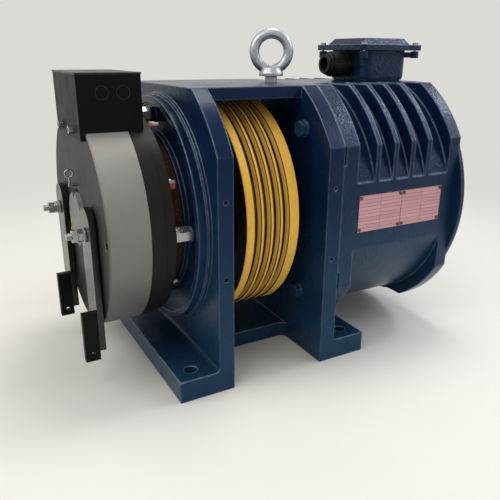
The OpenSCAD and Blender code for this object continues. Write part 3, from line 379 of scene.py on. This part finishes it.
def plated_metal(name, base, roughness, grain_mm, contrast):
    """Plated steel: bright, with faint cloudy crystals in the plating."""
    mat, tree, shader, place = begin(name, roughness, metallic=1.0)
    normal = edge_mask(tree, 0.0005)[0]
    crystals = add(tree, "ShaderNodeTexVoronoi", None, {
        "Vector": place, "Scale": 1000.0 / grain_mm})
    shade = add(tree, "ShaderNodeSeparateColor", None, {"Color": crystals.outputs["Color"]})
    tone = add(tree, "ShaderNodeMapRange", None, {
        "Value": shade.outputs[0], "To Min": 1.0 - contrast, "To Max": 1.0 + contrast * 0.3})
    colour = add(tree, "ShaderNodeMix", MULTIPLY, {
        "Factor": 1.0, FIRST: rgba(base), SECOND: tone.outputs[0]})
    tree.links.new(colour.outputs[MIXED], shader.inputs["Base Color"])
    gloss = add(tree, "ShaderNodeMapRange", None, {
        "Value": shade.outputs[1], "To Min": roughness - 0.05, "To Max": roughness + 0.08})
    tree.links.new(gloss.outputs[0], shader.inputs["Roughness"])
    tree.links.new(normal, shader.inputs["Normal"])
    return mat


def dull_coat(name, base, roughness, grain_mm, depth_m, edge_m, worn_highlight=None, specular=0.15):
    """Matt paint, plastic, rubber or black oxide: fine grain, and edges made greyer by rubbing and
    a painted highlight.
    """
    mat, tree, shader, place = begin(name, roughness, specular=specular)
    normal, edges = edge_mask(tree, edge_m)
    grain = add(tree, "ShaderNodeTexNoise", None, {
        "Vector": place, "Scale": 1000.0 / grain_mm, "Detail": 3.0, "Roughness": 0.6})
    # Dust lies in patches about 40 mm wide
    dust_and_floor_reflection = add(tree, "ShaderNodeTexNoise", None, {
        "Vector": place, "Scale": 25.0, "Detail": 4.0, "Roughness": 0.6})
    tone = add(tree, "ShaderNodeMapRange", None, {
        "Value": dust_and_floor_reflection.outputs[0], **NOISE, "To Min": 0.85, "To Max": 1.25})
    body = add(tree, "ShaderNodeMix", MULTIPLY, {
        "Factor": 1.0, FIRST: rgba(base), SECOND: tone.outputs[0]})
    # Rubbed edges show a lighter coat, with a painted highlight on top
    worn_highlight = worn_highlight or tuple(2.4 * c for c in base)
    wear_and_highlight = add(tree, "ShaderNodeMath", {"operation": "MULTIPLY"}, {0: edges, 1: 0.55})
    colour = add(tree, "ShaderNodeMix", BLEND, {
        "Factor": wear_and_highlight.outputs[0], FIRST: body.outputs[MIXED], SECOND: rgba(worn_highlight)})
    tree.links.new(colour.outputs[MIXED], shader.inputs["Base Color"])
    gloss = add(tree, "ShaderNodeMapRange", None, {
        "Value": dust_and_floor_reflection.outputs[0], **NOISE,
        "To Min": roughness - 0.06, "To Max": roughness + 0.08})
    tree.links.new(gloss.outputs[0], shader.inputs["Roughness"])
    bump = add(tree, "ShaderNodeBump", None, {
        "Height": grain.outputs[0], "Distance": depth_m, "Strength": 0.8, "Normal": normal})
    tree.links.new(bump.outputs[0], shader.inputs["Normal"])
    return mat


def pressed_lining(name, base):
    """Pressed friction lining: brown resin with brass and graphite chips, 2.4 mm to show."""
    mat, tree, shader, place = begin(name, 0.72, specular=0.25)
    chips = add(tree, "ShaderNodeTexVoronoi", None, {"Vector": place, "Scale": 420.0})
    shade = add(tree, "ShaderNodeSeparateColor", None, {"Color": chips.outputs["Color"]})
    bright = add(tree, "ShaderNodeMapRange", None, {
        "Value": shade.outputs[0], "From Min": 0.8, "From Max": 0.95, "To Max": 0.22})
    dark = add(tree, "ShaderNodeMapRange", None, {
        "Value": shade.outputs[1], "From Min": 0.7, "From Max": 0.95,
        "To Min": 1.0, "To Max": 0.55})
    body = add(tree, "ShaderNodeMix", MULTIPLY, {
        "Factor": 1.0, FIRST: rgba(base), SECOND: dark.outputs[0]})
    colour = add(tree, "ShaderNodeMix", BLEND, {
        "Factor": bright.outputs[0], FIRST: body.outputs[MIXED], SECOND: rgba(srgb("#a5794f"))})
    tree.links.new(colour.outputs[MIXED], shader.inputs["Base Color"])
    bump = add(tree, "ShaderNodeBump", None, {
        "Height": chips.outputs["Distance"], "Distance": 0.0003, "Strength": 0.5})
    tree.links.new(bump.outputs[0], shader.inputs["Normal"])
    return mat


def brushed_plate(name, base):
    """Satin anodised sheet: hair lines about 0.7 mm apart, and blank ruled fields."""
    mat, tree, shader, place = begin(name, 0.38, metallic=0.7)
    stretched = add(tree, "ShaderNodeMapping", None, {"Vector": place, "Scale": (20, 1400, 1400)})
    lines = add(tree, "ShaderNodeTexNoise", None, {
        "Vector": stretched.outputs[0], "Scale": 1.0, "Detail": 3.0})
    tone = add(tree, "ShaderNodeMapRange", None, {
        "Value": lines.outputs[0], **NOISE, "To Min": 0.95, "To Max": 1.04})
    # Etched rules with nothing written between them
    rule_width, rule_spacing, fields = 0.0005, 0.0065, 4
    low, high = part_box("nameplates")
    parts = add(tree, "ShaderNodeSeparateXYZ", None, {"Vector": place})
    across = add(tree, "ShaderNodeMath", {"operation": "SUBTRACT"}, {
        0: parts.outputs["X"], 1: low.x})
    upward = add(tree, "ShaderNodeMath", {"operation": "SUBTRACT"}, {
        0: parts.outputs["Z"], 1: low.z})
    sheet = add(tree, "ShaderNodeCombineXYZ", None, {
        "X": across.outputs[0], "Y": upward.outputs[0]})
    rules = add(tree, "ShaderNodeTexBrick", {"offset": 0.0}, {
        "Vector": sheet.outputs[0], "Scale": 1.0, "Mortar Size": rule_width,
        "Mortar Smooth": 0.3, "Brick Width": (high.x - low.x) / fields,
        "Row Height": rule_spacing, "Color1": rgba(base),
        "Color2": rgba(tuple(min(1.0, c * 1.18) for c in base)),
        "Mortar": rgba(tuple(c * 0.5 for c in base))})
    colour = add(tree, "ShaderNodeMix", MULTIPLY, {
        "Factor": 1.0, FIRST: rules.outputs["Color"], SECOND: tone.outputs[0]})
    tree.links.new(colour.outputs[MIXED], shader.inputs["Base Color"])
    bump = add(tree, "ShaderNodeBump", None, {
        "Height": lines.outputs[0], "Distance": 0.0001, "Strength": 0.5})
    tree.links.new(bump.outputs[0], shader.inputs["Normal"])
    return mat


def wound_wire(name, base, spacing_m):
    """Varnished copper wire laid in rings around the shaft, one band per turn, darker between the
    turns as painted shade.
    """
    mat, tree, shader, place = begin(name, 0.3, metallic=0.7, coat=0.6)
    radius, along = shaft_polar(tree, place)
    total = add(tree, "ShaderNodeMath", {"operation": "ADD"}, {0: radius, 1: along})
    wave = add(tree, "ShaderNodeMath", {"operation": "SINE"}, {
        0: add(tree, "ShaderNodeMath", {"operation": "MULTIPLY"}, {
            0: total.outputs[0], 1: 2 * math.pi / spacing_m}).outputs[0]})
    # Painted shade between the turns: the colour drops to 45 % in the gaps
    tone = add(tree, "ShaderNodeMapRange", None, {
        "Value": wave.outputs[0], "From Min": -1.0, "To Min": 0.45, "To Max": 1.05})
    colour = add(tree, "ShaderNodeMix", MULTIPLY, {
        "Factor": 1.0, FIRST: rgba(base), SECOND: tone.outputs[0]})
    tree.links.new(colour.outputs[MIXED], shader.inputs["Base Color"])
    bump = add(tree, "ShaderNodeBump", None, {
        "Height": wave.outputs[0], "Distance": spacing_m / 6, "Strength": 0.7})
    tree.links.new(bump.outputs[0], shader.inputs["Normal"])
    return mat


def dress(material, *names):
    """Give CAD nodes their finish."""
    for name in names:
        slots = NODES[name].data.materials
        slots.clear()
        slots.append(material)


# ------------------------------------------------------------ fine parts

def new_piece(name, tree, sizes, material, placing, body, node=None):
    """Run a node tree, bake it into a plain mesh in its place, and hand it to its body."""
    holder = bpy.data.objects.new(name + "_source", bpy.data.meshes.new(name + "_source"))
    bpy.context.scene.collection.objects.link(holder)
    modifier = holder.modifiers.new("Build", "NODES")
    modifier.node_group = tree
    values = {**sizes, "Material": material}
    for item in tree.interface.items_tree:
        if item.item_type == "SOCKET" and item.in_out == "INPUT":
            modifier[item.identifier] = values[item.name]
    bpy.context.view_layer.update()
    graph = bpy.context.evaluated_depsgraph_get()
    mesh = bpy.data.meshes.new_from_object(holder.evaluated_get(graph))
    holder.modifiers.remove(modifier)
    bpy.data.objects.remove(holder)
    mesh.name = name
    mesh.transform(placing)
    mesh.materials.clear()
    mesh.materials.append(material)
    piece = bpy.data.objects.new(name, mesh)
    bpy.context.scene.collection.objects.link(piece)
    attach(piece, body)
    if node:
        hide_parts(node)
    return piece


def open_tree(name, sizes):
    """Start a geometry tree with named sizes and one geometry output."""
    tree = bpy.data.node_groups.new(name, "GeometryNodeTree")
    tree.interface.new_socket("Geometry", in_out="OUTPUT", socket_type="NodeSocketGeometry")
    for label, kind, value in sizes:
        socket = tree.interface.new_socket(label, in_out="INPUT", socket_type=kind)
        if kind != "NodeSocketMaterial":
            socket.default_value = value
    return tree, add(tree, "NodeGroupInput")


def close_tree(tree, source, geometry):
    """End a tree in realised instances with their material set."""
    real = add(tree, "GeometryNodeRealizeInstances", None, {"Geometry": geometry})
    done = add(tree, "GeometryNodeSetMaterial", None, {
        "Geometry": real.outputs[0], "Material": source.outputs["Material"]})
    add(tree, "NodeGroupOutput", None, {"Geometry": done.outputs[0]})
    return tree


def thread_tree():
    """A screw thread as a rule: the radius follows height and angle along one helix."""
    tree, source = open_tree("Screw thread", [
        ("Length", "NodeSocketFloat", 0.03), ("Radius", "NodeSocketFloat", 0.006),
        ("Pitch", "NodeSocketFloat", 0.00175), ("Depth", "NodeSocketFloat", 0.0009),
        ("Steps", "NodeSocketInt", 60), ("Material", "NodeSocketMaterial", None)])
    bar = add(tree, "GeometryNodeMeshCylinder", {"fill_type": "TRIANGLE_FAN"}, {
        "Vertices": 24, "Side Segments": source.outputs["Steps"],
        "Radius": source.outputs["Radius"], "Depth": source.outputs["Length"]})
    place = add(tree, "ShaderNodeSeparateXYZ", None, {
        0: add(tree, "GeometryNodeInputPosition").outputs[0]})
    turn = add(tree, "ShaderNodeMath", {"operation": "ARCTAN2"}, {
        0: place.outputs["Y"], 1: place.outputs["X"]})
    lead = add(tree, "ShaderNodeMath", {"operation": "DIVIDE"}, {
        0: place.outputs["Z"], 1: source.outputs["Pitch"]})
    phase = add(tree, "ShaderNodeMath", {"operation": "MULTIPLY_ADD"}, {
        0: turn.outputs[0], 1: -1 / (2 * math.pi), 2: lead.outputs[0]})
    saw = add(tree, "ShaderNodeMath", {"operation": "PINGPONG"}, {0: phase.outputs[0], 1: 0.5})
    drop = add(tree, "ShaderNodeMath", {"operation": "MULTIPLY"}, {
        0: saw.outputs[0], 1: source.outputs["Depth"]})
    share = add(tree, "ShaderNodeMath", {"operation": "DIVIDE"}, {
        0: drop.outputs[0], 1: source.outputs["Radius"]})
    inward = add(tree, "ShaderNodeMath", {"operation": "MULTIPLY"}, {
        0: share.outputs[0], 1: -2.0})
    flat = add(tree, "ShaderNodeCombineXYZ", None, {
        "X": place.outputs["X"], "Y": place.outputs["Y"]})
    shift = add(tree, "ShaderNodeVectorMath", {"operation": "SCALE"}, {
        0: flat.outputs[0], "Scale": inward.outputs[0]})
    cut = add(tree, "GeometryNodeSetPosition", None, {
        "Geometry": bar.outputs["Mesh"], "Offset": shift.outputs[0]})
    return close_tree(tree, source, cut.outputs[0])


def flute_tree():
    """Grip flutes of a gland nut: small bars repeated around the X axis."""
    tree, source = open_tree("Grip flutes", [
        ("Count", "NodeSocketInt", 24), ("Radius", "NodeSocketFloat", 0.024),
        ("Length", "NodeSocketFloat", 0.02), ("Depth", "NodeSocketFloat", 0.001),
        ("Material", "NodeSocketMaterial", None)])
    circle = add(tree, "GeometryNodeMeshCircle", None, {
        "Vertices": source.outputs["Count"], "Radius": source.outputs["Radius"]})
    size = add(tree, "ShaderNodeCombineXYZ", None, {
        "X": source.outputs["Depth"], "Y": 0.0022, "Z": source.outputs["Length"]})
    bar = add(tree, "GeometryNodeMeshCube", None, {"Size": size.outputs[0]})
    turn = add(tree, "FunctionNodeAlignRotationToVector", {"axis": "X"}, {
        "Vector": add(tree, "GeometryNodeInputPosition").outputs[0]})
    many = add(tree, "GeometryNodeInstanceOnPoints", None, {
        "Points": circle.outputs[0], "Instance": bar.outputs["Mesh"],
        "Rotation": turn.outputs[0]})
    return close_tree(tree, source, many.outputs[0])


def block_tree():
    """A small moulded block: the hull of three crossed boxes, which chamfers every edge."""
    tree, source = open_tree("Chamfered block", [
        ("Size", "NodeSocketVector", (0.01, 0.01, 0.01)), ("Chamfer", "NodeSocketFloat", 0.001),
        ("Material", "NodeSocketMaterial", None)])
    double = add(tree, "ShaderNodeMath", {"operation": "MULTIPLY"}, {
        0: source.outputs["Chamfer"], 1: 2.0})
    gather = add(tree, "GeometryNodeJoinGeometry")
    for axis in ("X", "Y", "Z"):
        cut = add(tree, "ShaderNodeCombineXYZ", None, {
            other: double.outputs[0] for other in "XYZ" if other != axis})
        less = add(tree, "ShaderNodeVectorMath", {"operation": "SUBTRACT"}, {
            0: source.outputs["Size"], 1: cut.outputs[0]})
        box = add(tree, "GeometryNodeMeshCube", None, {"Size": less.outputs[0]})
        tree.links.new(box.outputs["Mesh"], gather.inputs[0])
    hull = add(tree, "GeometryNodeConvexHull", None, {0: gather.outputs[0]})
    return close_tree(tree, source, hull.outputs[0])


# ---------------------------------------------------------------- operators

class MACHINE_OT_castings(bpy.types.Operator):
    """Spray the castings with enamel"""
    bl_idname = "machine.castings"
    bl_label = "Castings"

    def execute(self, context):
        s = context.scene.machine_finish
        colours = (s.enamel, s.enamel_floor_lit, s.enamel_worn_highlight)
        edge = s.edge_mm / 1000
        frame_coat = enamel(
            "Semi-gloss enamel on machined iron", *colours, grain_mm=5.0, depth_mm=0.3,
            roughness=0.24, edge_m=edge, specular=0.16)
        housing_coat = enamel(
            "Semi-gloss enamel on cast iron", *colours, grain_mm=6.0, depth_mm=1.1,
            roughness=0.2, edge_m=edge * 1.4, specular=0.24)
        rough_coat = enamel(
            "Enamel on rough sand casting", *colours, grain_mm=7.0, depth_mm=2.0,
            roughness=0.17, edge_m=0.0026, specular=0.32)
        # Painted light: the bolts take the lighter floor-lit enamel all over
        bolt_coat = enamel(
            "Enamel on hexagon bolts", s.enamel_floor_lit, s.enamel_floor_lit, s.enamel_worn_highlight,
            grain_mm=5.0, depth_mm=0.1, roughness=0.24, edge_m=0.0012, specular=0.3)
        dress(frame_coat, "main_frame", "bearing_caps")
        dress(bolt_coat, "flange_bolts")
        dress(housing_coat, "motor_housing", "rear_cover")
        dress(rough_coat, "terminal_box", "terminal_lid", "encoder_cover")
        return {"FINISHED"}


class MACHINE_OT_sheave(bpy.types.Operator):
    """Paint the traction sheave"""
    bl_idname = "machine.sheave"
    bl_label = "Traction sheave"

    def execute(self, context):
        s = context.scene.machine_finish
        low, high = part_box("traction_sheave")
        dress(sheave_enamel("Satin enamel on turned iron", s.sheave, s.groove_grime_and_shade,
                            (high.z - low.z) / 2),
              "traction_sheave")
        return {"FINISHED"}


class MACHINE_OT_running_gear(bpy.types.Operator):
    """Finish the shaft, bearings, motor core and rotor"""
    bl_idname = "machine.running_gear"
    bl_label = "Shaft, bearings and motor parts"

    def execute(self, context):
        dress(turned_metal("Ground steel", srgb("#b9bbbd"), roughness=0.24, ring_mm=1.2,
                           depth_m=0.00005),
              "main_shaft", "brake_hub", "bearing_outer_rings", "bearing_inner_rings",
              "bearing_rollers", "encoder_wheel")
        dress(dull_coat("Black oxide on alloy steel", srgb("#2b2b2d"), roughness=0.42,
                        grain_mm=2.0, depth_m=0.00008, edge_m=0.0006),
              "sheave_screws", "rotor_screws", "brake_bolts", "rotor_drum")
        dress(turned_metal("Stacked electrical sheet", srgb("#6f7073"), roughness=0.45,
                           ring_mm=1.6, depth_m=0.0002),
              "stator_core")
        dress(wound_wire("Varnished copper wire", srgb("#a8562c"), spacing_m=0.0024),
              "stator_windings", "brake_coils")
        dress(plated_metal("Nickel plated magnet", srgb("#b5b6b8"), roughness=0.25,
                           grain_mm=3.0, contrast=0.12),
              "rotor_magnets")
        return {"FINISHED"}


class MACHINE_OT_brake(bpy.types.Operator):
    """Finish the brake body, ring, lining and armature"""
    bl_idname = "machine.brake"
    bl_label = "Disc brake"

    def execute(self, context):
        s = context.scene.machine_finish
        dress(turned_metal("Turned mild steel", s.turned_steel, roughness=0.52, ring_mm=1.5,
                           depth_m=0.00005, metallic=0.55, end=s.brake_face),
              "magnet_body")
        dress(dull_coat("Black oxide on turned steel", srgb("#1b1a19"), roughness=0.46,
                        grain_mm=2.5, depth_m=0.0001, edge_m=0.0008),
              "brake_ring", "armature_near", "armature_far", "brake_springs")
        dress(pressed_lining("Pressed friction lining", s.lining), "friction_disc")
        dress(dull_coat("Phosphated steel cap", srgb("#77787a"), roughness=0.5,
                        grain_mm=1.2, depth_m=0.0001, edge_m=0.0008),
              "center_cap")
        return {"FINISHED"}


class MACHINE_OT_levers(bpy.types.Operator):
    """Paint the release levers and their handles"""
    bl_idname = "machine.levers"
    bl_label = "Release levers"

    def execute(self, context):
        s = context.scene.machine_finish
        dress(dull_coat("Satin black paint on flat steel", s.black_paint, roughness=0.24,
                        grain_mm=3.0, depth_m=0.00006, edge_m=0.0009, specular=0.5),
              "lever_near", "lever_far")
        dress(dull_coat("Satin black paint on the handles", s.black_paint, roughness=0.4,
                        grain_mm=3.0, depth_m=0.00012, edge_m=0.0009, specular=0.1),
              "handle_near", "handle_far")
        return {"FINISHED"}


class MACHINE_OT_fasteners(bpy.types.Operator):
    """Plate the screws, nuts, pins and the lifting eye"""
    bl_idname = "machine.fasteners"
    bl_label = "Fasteners and lifting eye"

    def execute(self, context):
        s = context.scene.machine_finish
        dress(plated_metal("Bright zinc plate", s.zinc, roughness=0.25, grain_mm=1.5,
                           contrast=0.05),
              "rear_cover_screws", "terminal_lid_screws", "spacer_nuts", "ring_screws",
              "stud_nuts_near", "stud_nuts_far", "lock_pin", "switch_box_screws")
        dress(plated_metal("Hot dip galvanised steel", srgb("#b0b5ba"), roughness=0.42,
                           grain_mm=5.0, contrast=0.16),
              "eye_bolt")
        return {"FINISHED"}


class MACHINE_OT_stud_threads(bpy.types.Operator):
    """Cut the threads of the release studs"""
    bl_idname = "machine.stud_threads"
    bl_label = "Stud threads"

    def execute(self, context):
        s, finish = context.scene.machine_thread, context.scene.machine_finish
        steel = plated_metal("Zinc plated stud", finish.zinc, roughness=0.28, grain_mm=1.5,
                             contrast=0.05)
        tree = thread_tree()
        steps_per_turn = 6
        for side in ("near", "far"):
            low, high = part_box("stud_" + side)
            length, radius = high.x - low.x, (high.z - low.z) / 2
            new_piece("thread_" + side, tree, {
                "Length": length, "Radius": radius, "Pitch": s.pitch, "Depth": s.depth,
                "Steps": round(length / s.pitch * steps_per_turn)}, steel,
                Matrix.Translation((low + high) / 2) @ ALONG_X, side + "_armature",
                "stud_" + side)
        return {"FINISHED"}


class MACHINE_OT_gland(bpy.types.Operator):
    """Finish the cable gland and add the grip flutes of its nut"""
    bl_idname = "machine.gland"
    bl_label = "Cable gland"

    def execute(self, context):
        s = context.scene.machine_gland
        plastic = dull_coat("Moulded polyamide", srgb("#1c1c1d"), roughness=0.34,
                            grain_mm=2.0, depth_m=0.00008, edge_m=0.0009,
                            worn_highlight=srgb("#5b5b5d"))
        dress(plastic, "cable_gland", "gland_nut", "encoder_body", "terminal_block",
              "brake_switches")
        low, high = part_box("gland_nut")
        radius, middle = (high.z - low.z) / 2, (low + high) / 2
        # The flutes start 4 mm from the nut's inner end and sink 0.1 mm into it
        start, length, sunk = high.x - 0.004, 0.022, 0.0001
        new_piece("gland_flutes", flute_tree(), {
            "Count": s.flutes, "Radius": radius - sunk, "Length": length,
            "Depth": s.depth}, plastic,
            Matrix.Translation((start - length / 2, middle.y, middle.z)) @ ALONG_X,
            "machine")
        dress(dull_coat("Moulded nitrile rubber", srgb("#1e1e1f"), roughness=0.65,
                        grain_mm=2.0, depth_m=0.0001, edge_m=0.0005),
              "terminal_gasket")
        return {"FINISHED"}


class MACHINE_OT_switch_box(bpy.types.Operator):
    """Paint the sheet metal switch box"""
    bl_idname = "machine.switch_box"
    bl_label = "Switch box"

    def execute(self, context):
        s = context.scene.machine_finish
        texture = {"grain_mm": 1.8, "depth_m": 0.00012, "edge_m": 0.0009}
        dress(dull_coat("Fine textured black powder coat", s.black_paint, roughness=0.42,
                        worn_highlight=srgb("#6a6a6c"), specular=0.08, **texture),
              "switch_box", "knockout_plugs")
        dress(dull_coat("Powder coat on the box lid", s.black_paint, roughness=0.36,
                        worn_highlight=srgb("#8a8a8c"), specular=0.4, **texture),
              "switch_box_lid")
        return {"FINISHED"}


class MACHINE_OT_nameplates(bpy.types.Operator):
    """Finish the two blank nameplates"""
    bl_idname = "machine.nameplates"
    bl_label = "Nameplates"

    def execute(self, context):
        s = context.scene.machine_finish
        dress(brushed_plate("Satin anodised aluminium sheet", s.plate), "nameplates")
        dress(plated_metal("Blackened rivet steel", srgb("#5d5753"), roughness=0.3,
                           grain_mm=1.5, contrast=0.1),
              "nameplate_rivets")
        return {"FINISHED"}


class MACHINE_OT_small_parts(bpy.types.Operator):
    """Add the brake's terminals, the red sleeves and the strip on the centre cap"""
    bl_idname = "machine.small_parts"
    bl_label = "Terminals, sleeves and strip"

    def execute(self, context):
        tree = block_tree()
        texture = {"grain_mm": 2.0, "depth_m": 0.00006}
        finishes = {
            "white": dull_coat("Tinned terminal tip", srgb("#d9d8d2"), roughness=0.35,
                               edge_m=0.0004, worn_highlight=srgb("#efeeea"), specular=0.5, **texture),
            "red": dull_coat("Red insulating sleeve", srgb("#8e3a38"), roughness=0.4,
                             edge_m=0.0004, worn_highlight=srgb("#b05a55"), specular=0.5, **texture),
            "yellow": dull_coat("Yellow plastic strip", srgb("#c9b32a"), roughness=0.4,
                                edge_m=0.0003, worn_highlight=srgb("#dccb5a"), specular=0.4, **texture)}
        for name, finish, size, centre, tilt in BLOCKS:
            placing = Matrix.Translation(centre) @ Matrix.Rotation(math.radians(tilt), 4, "X")
            new_piece(name, tree, {"Size": size, "Chamfer": min(size) * 0.18},
                      finishes[finish], placing, "machine")
        return {"FINISHED"}


class MACHINE_OT_stage(bpy.types.Operator):
    """Build the floor, the soft lights and the camera"""
    bl_idname = "machine.stage"
    bl_label = "Stage"

    def execute(self, context):
        scene, s = context.scene, context.scene.machine_stage
        mesh = bpy.data.meshes.new("floor")
        half = 12.0  # metres from the middle of the floor to each side
        corners = [(-half, -half, 0), (half, -half, 0), (half, half, 0), (-half, half, 0)]
        mesh.from_pydata(corners, [], [(0, 1, 2, 3)])
        floor = bpy.data.objects.new("floor", mesh)
        scene.collection.objects.link(floor)
        mat, tree, shader, place = begin("Painted concrete floor", 0.55)
        # Faint patches about 500 mm wide
        patches = add(tree, "ShaderNodeTexNoise", None, {
            "Vector": place, "Scale": 2.0, "Detail": 4.0})
        tone = add(tree, "ShaderNodeMapRange", None, {
            "Value": patches.outputs[0], **NOISE, "To Min": 0.97, "To Max": 1.02})
        colour = add(tree, "ShaderNodeMix", MULTIPLY, {
            "Factor": 1.0, FIRST: rgba(s.floor), SECOND: tone.outputs[0]})
        tree.links.new(colour.outputs[MIXED], shader.inputs["Base Color"])
        # Between these distances in metres the floor passes over into the evenly lit backdrop
        near, far = 0.6, 1.7
        away = add(tree, "ShaderNodeVectorMath", {"operation": "LENGTH"}, {0: place})
        share = add(tree, "ShaderNodeMapRange", {"interpolation_type": "SMOOTHSTEP"}, {
            "Value": away.outputs["Value"], "From Min": near, "From Max": far})
        sweep = add(tree, "ShaderNodeEmission", None, {
            "Color": rgba(s.floor), "Strength": s.backdrop})
        ground = add(tree, "ShaderNodeMixShader", None, {
            0: share.outputs[0], 1: shader.outputs[0], 2: sweep.outputs[0]})
        surface = next(node for node in tree.nodes if node.type == "OUTPUT_MATERIAL")
        tree.links.new(ground.outputs[0], surface.inputs["Surface"])
        mesh.materials.append(mat)

        # Camera, glossy and transmitted rays see the pale backdrop, all others a softer light
        world = bpy.data.worlds.new("Studio")
        scene.world = world
        world.use_nodes = True
        tree = world.node_tree
        tree.nodes.clear()
        rays = add(tree, "ShaderNodeLightPath")
        clear = add(tree, "ShaderNodeMath", {"operation": "MAXIMUM"}, {
            0: rays.outputs["Is Glossy Ray"], 1: rays.outputs["Is Transmission Ray"]})
        seen = add(tree, "ShaderNodeMath", {"operation": "MAXIMUM"}, {
            0: rays.outputs["Is Camera Ray"], 1: clear.outputs[0]})
        soft = add(tree, "ShaderNodeBackground", None, {
            "Color": rgba(srgb("#f1f1f0")), "Strength": 0.67})
        backdrop = add(tree, "ShaderNodeBackground", None, {
            "Color": rgba(s.floor), "Strength": s.backdrop})
        both = add(tree, "ShaderNodeMixShader", None, {
            0: seen.outputs[0], 1: soft.outputs[0], 2: backdrop.outputs[0]})
        add(tree, "ShaderNodeOutputWorld", None, {"Surface": both.outputs[0]})

        for name, place, target, width, power, tint in LAMPS:
            lamp = bpy.data.lights.new(name, "AREA")
            lamp.size = width
            lamp.energy = power
            lamp.color = srgb(tint)
            light = bpy.data.objects.new(name, lamp)
            light.location = place
            aim = Vector(target) - Vector(place)
            light.rotation_euler = aim.to_track_quat("-Z", "Y").to_euler()
            scene.collection.objects.link(light)

        lens = bpy.data.cameras.new("camera")
        lens.lens = s.lens
        lens.sensor_width = 36
        lens.clip_start = 0.01
        camera = bpy.data.objects.new("camera", lens)
        right = Vector((math.cos(s.azimuth), math.sin(s.azimuth), 0))
        ahead = Vector((-math.sin(s.azimuth) * math.cos(s.pitch),
                        math.cos(s.azimuth) * math.cos(s.pitch), -math.sin(s.pitch)))
        up = right.cross(ahead)
        side = right * math.cos(s.roll) + up * math.sin(s.roll)
        top = up * math.cos(s.roll) - right * math.sin(s.roll)
        camera.matrix_world = Matrix.Translation(s.camera_place) @ Matrix(
            (side, top, -ahead)).transposed().to_4x4()
        scene.collection.objects.link(camera)
        scene.camera = camera
        scene.view_settings.view_transform = "Standard"
        return {"FINISHED"}


class MACHINE_PT_panel(bpy.types.Panel):
    """List the operators and the settings"""
    bl_idname = "MACHINE_PT_panel"
    bl_label = "Traction machine"
    bl_space_type = "VIEW_3D"
    bl_region_type = "UI"
    bl_category = "Machine"

    def draw(self, context):
        for operator in OPERATORS:
            self.layout.operator(operator.bl_idname)
        for name, group in SETTINGS.items():
            box = self.layout.box()
            for key in group.__annotations__:
                box.prop(getattr(context.scene, name), key)


OPERATORS = (MACHINE_OT_castings, MACHINE_OT_sheave, MACHINE_OT_running_gear, MACHINE_OT_brake,
             MACHINE_OT_levers, MACHINE_OT_fasteners, MACHINE_OT_stud_threads, MACHINE_OT_gland,
             MACHINE_OT_switch_box, MACHINE_OT_nameplates, MACHINE_OT_small_parts,
             MACHINE_OT_stage)
SETTINGS = {"machine_finish": FinishSettings, "machine_thread": ThreadSettings,
            "machine_gland": GlandSettings, "machine_stage": StageSettings}


def register():
    for group in SETTINGS.values():
        bpy.utils.register_class(group)
    for name, group in SETTINGS.items():
        setattr(bpy.types.Scene, name, bpy.props.PointerProperty(type=group))
    for operator in OPERATORS:
        bpy.utils.register_class(operator)
    bpy.utils.register_class(MACHINE_PT_panel)


def unregister():
    bpy.utils.unregister_class(MACHINE_PT_panel)
    for operator in reversed(OPERATORS):
        bpy.utils.unregister_class(operator)
    for name, group in SETTINGS.items():
        delattr(bpy.types.Scene, name)
        bpy.utils.unregister_class(group)


def main():
    """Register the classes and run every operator"""
    register()
    for operator in OPERATORS:
        group, action = operator.bl_idname.split(".")
        getattr(getattr(bpy.ops, group), action)()


if __name__ == "__main__":
    main()
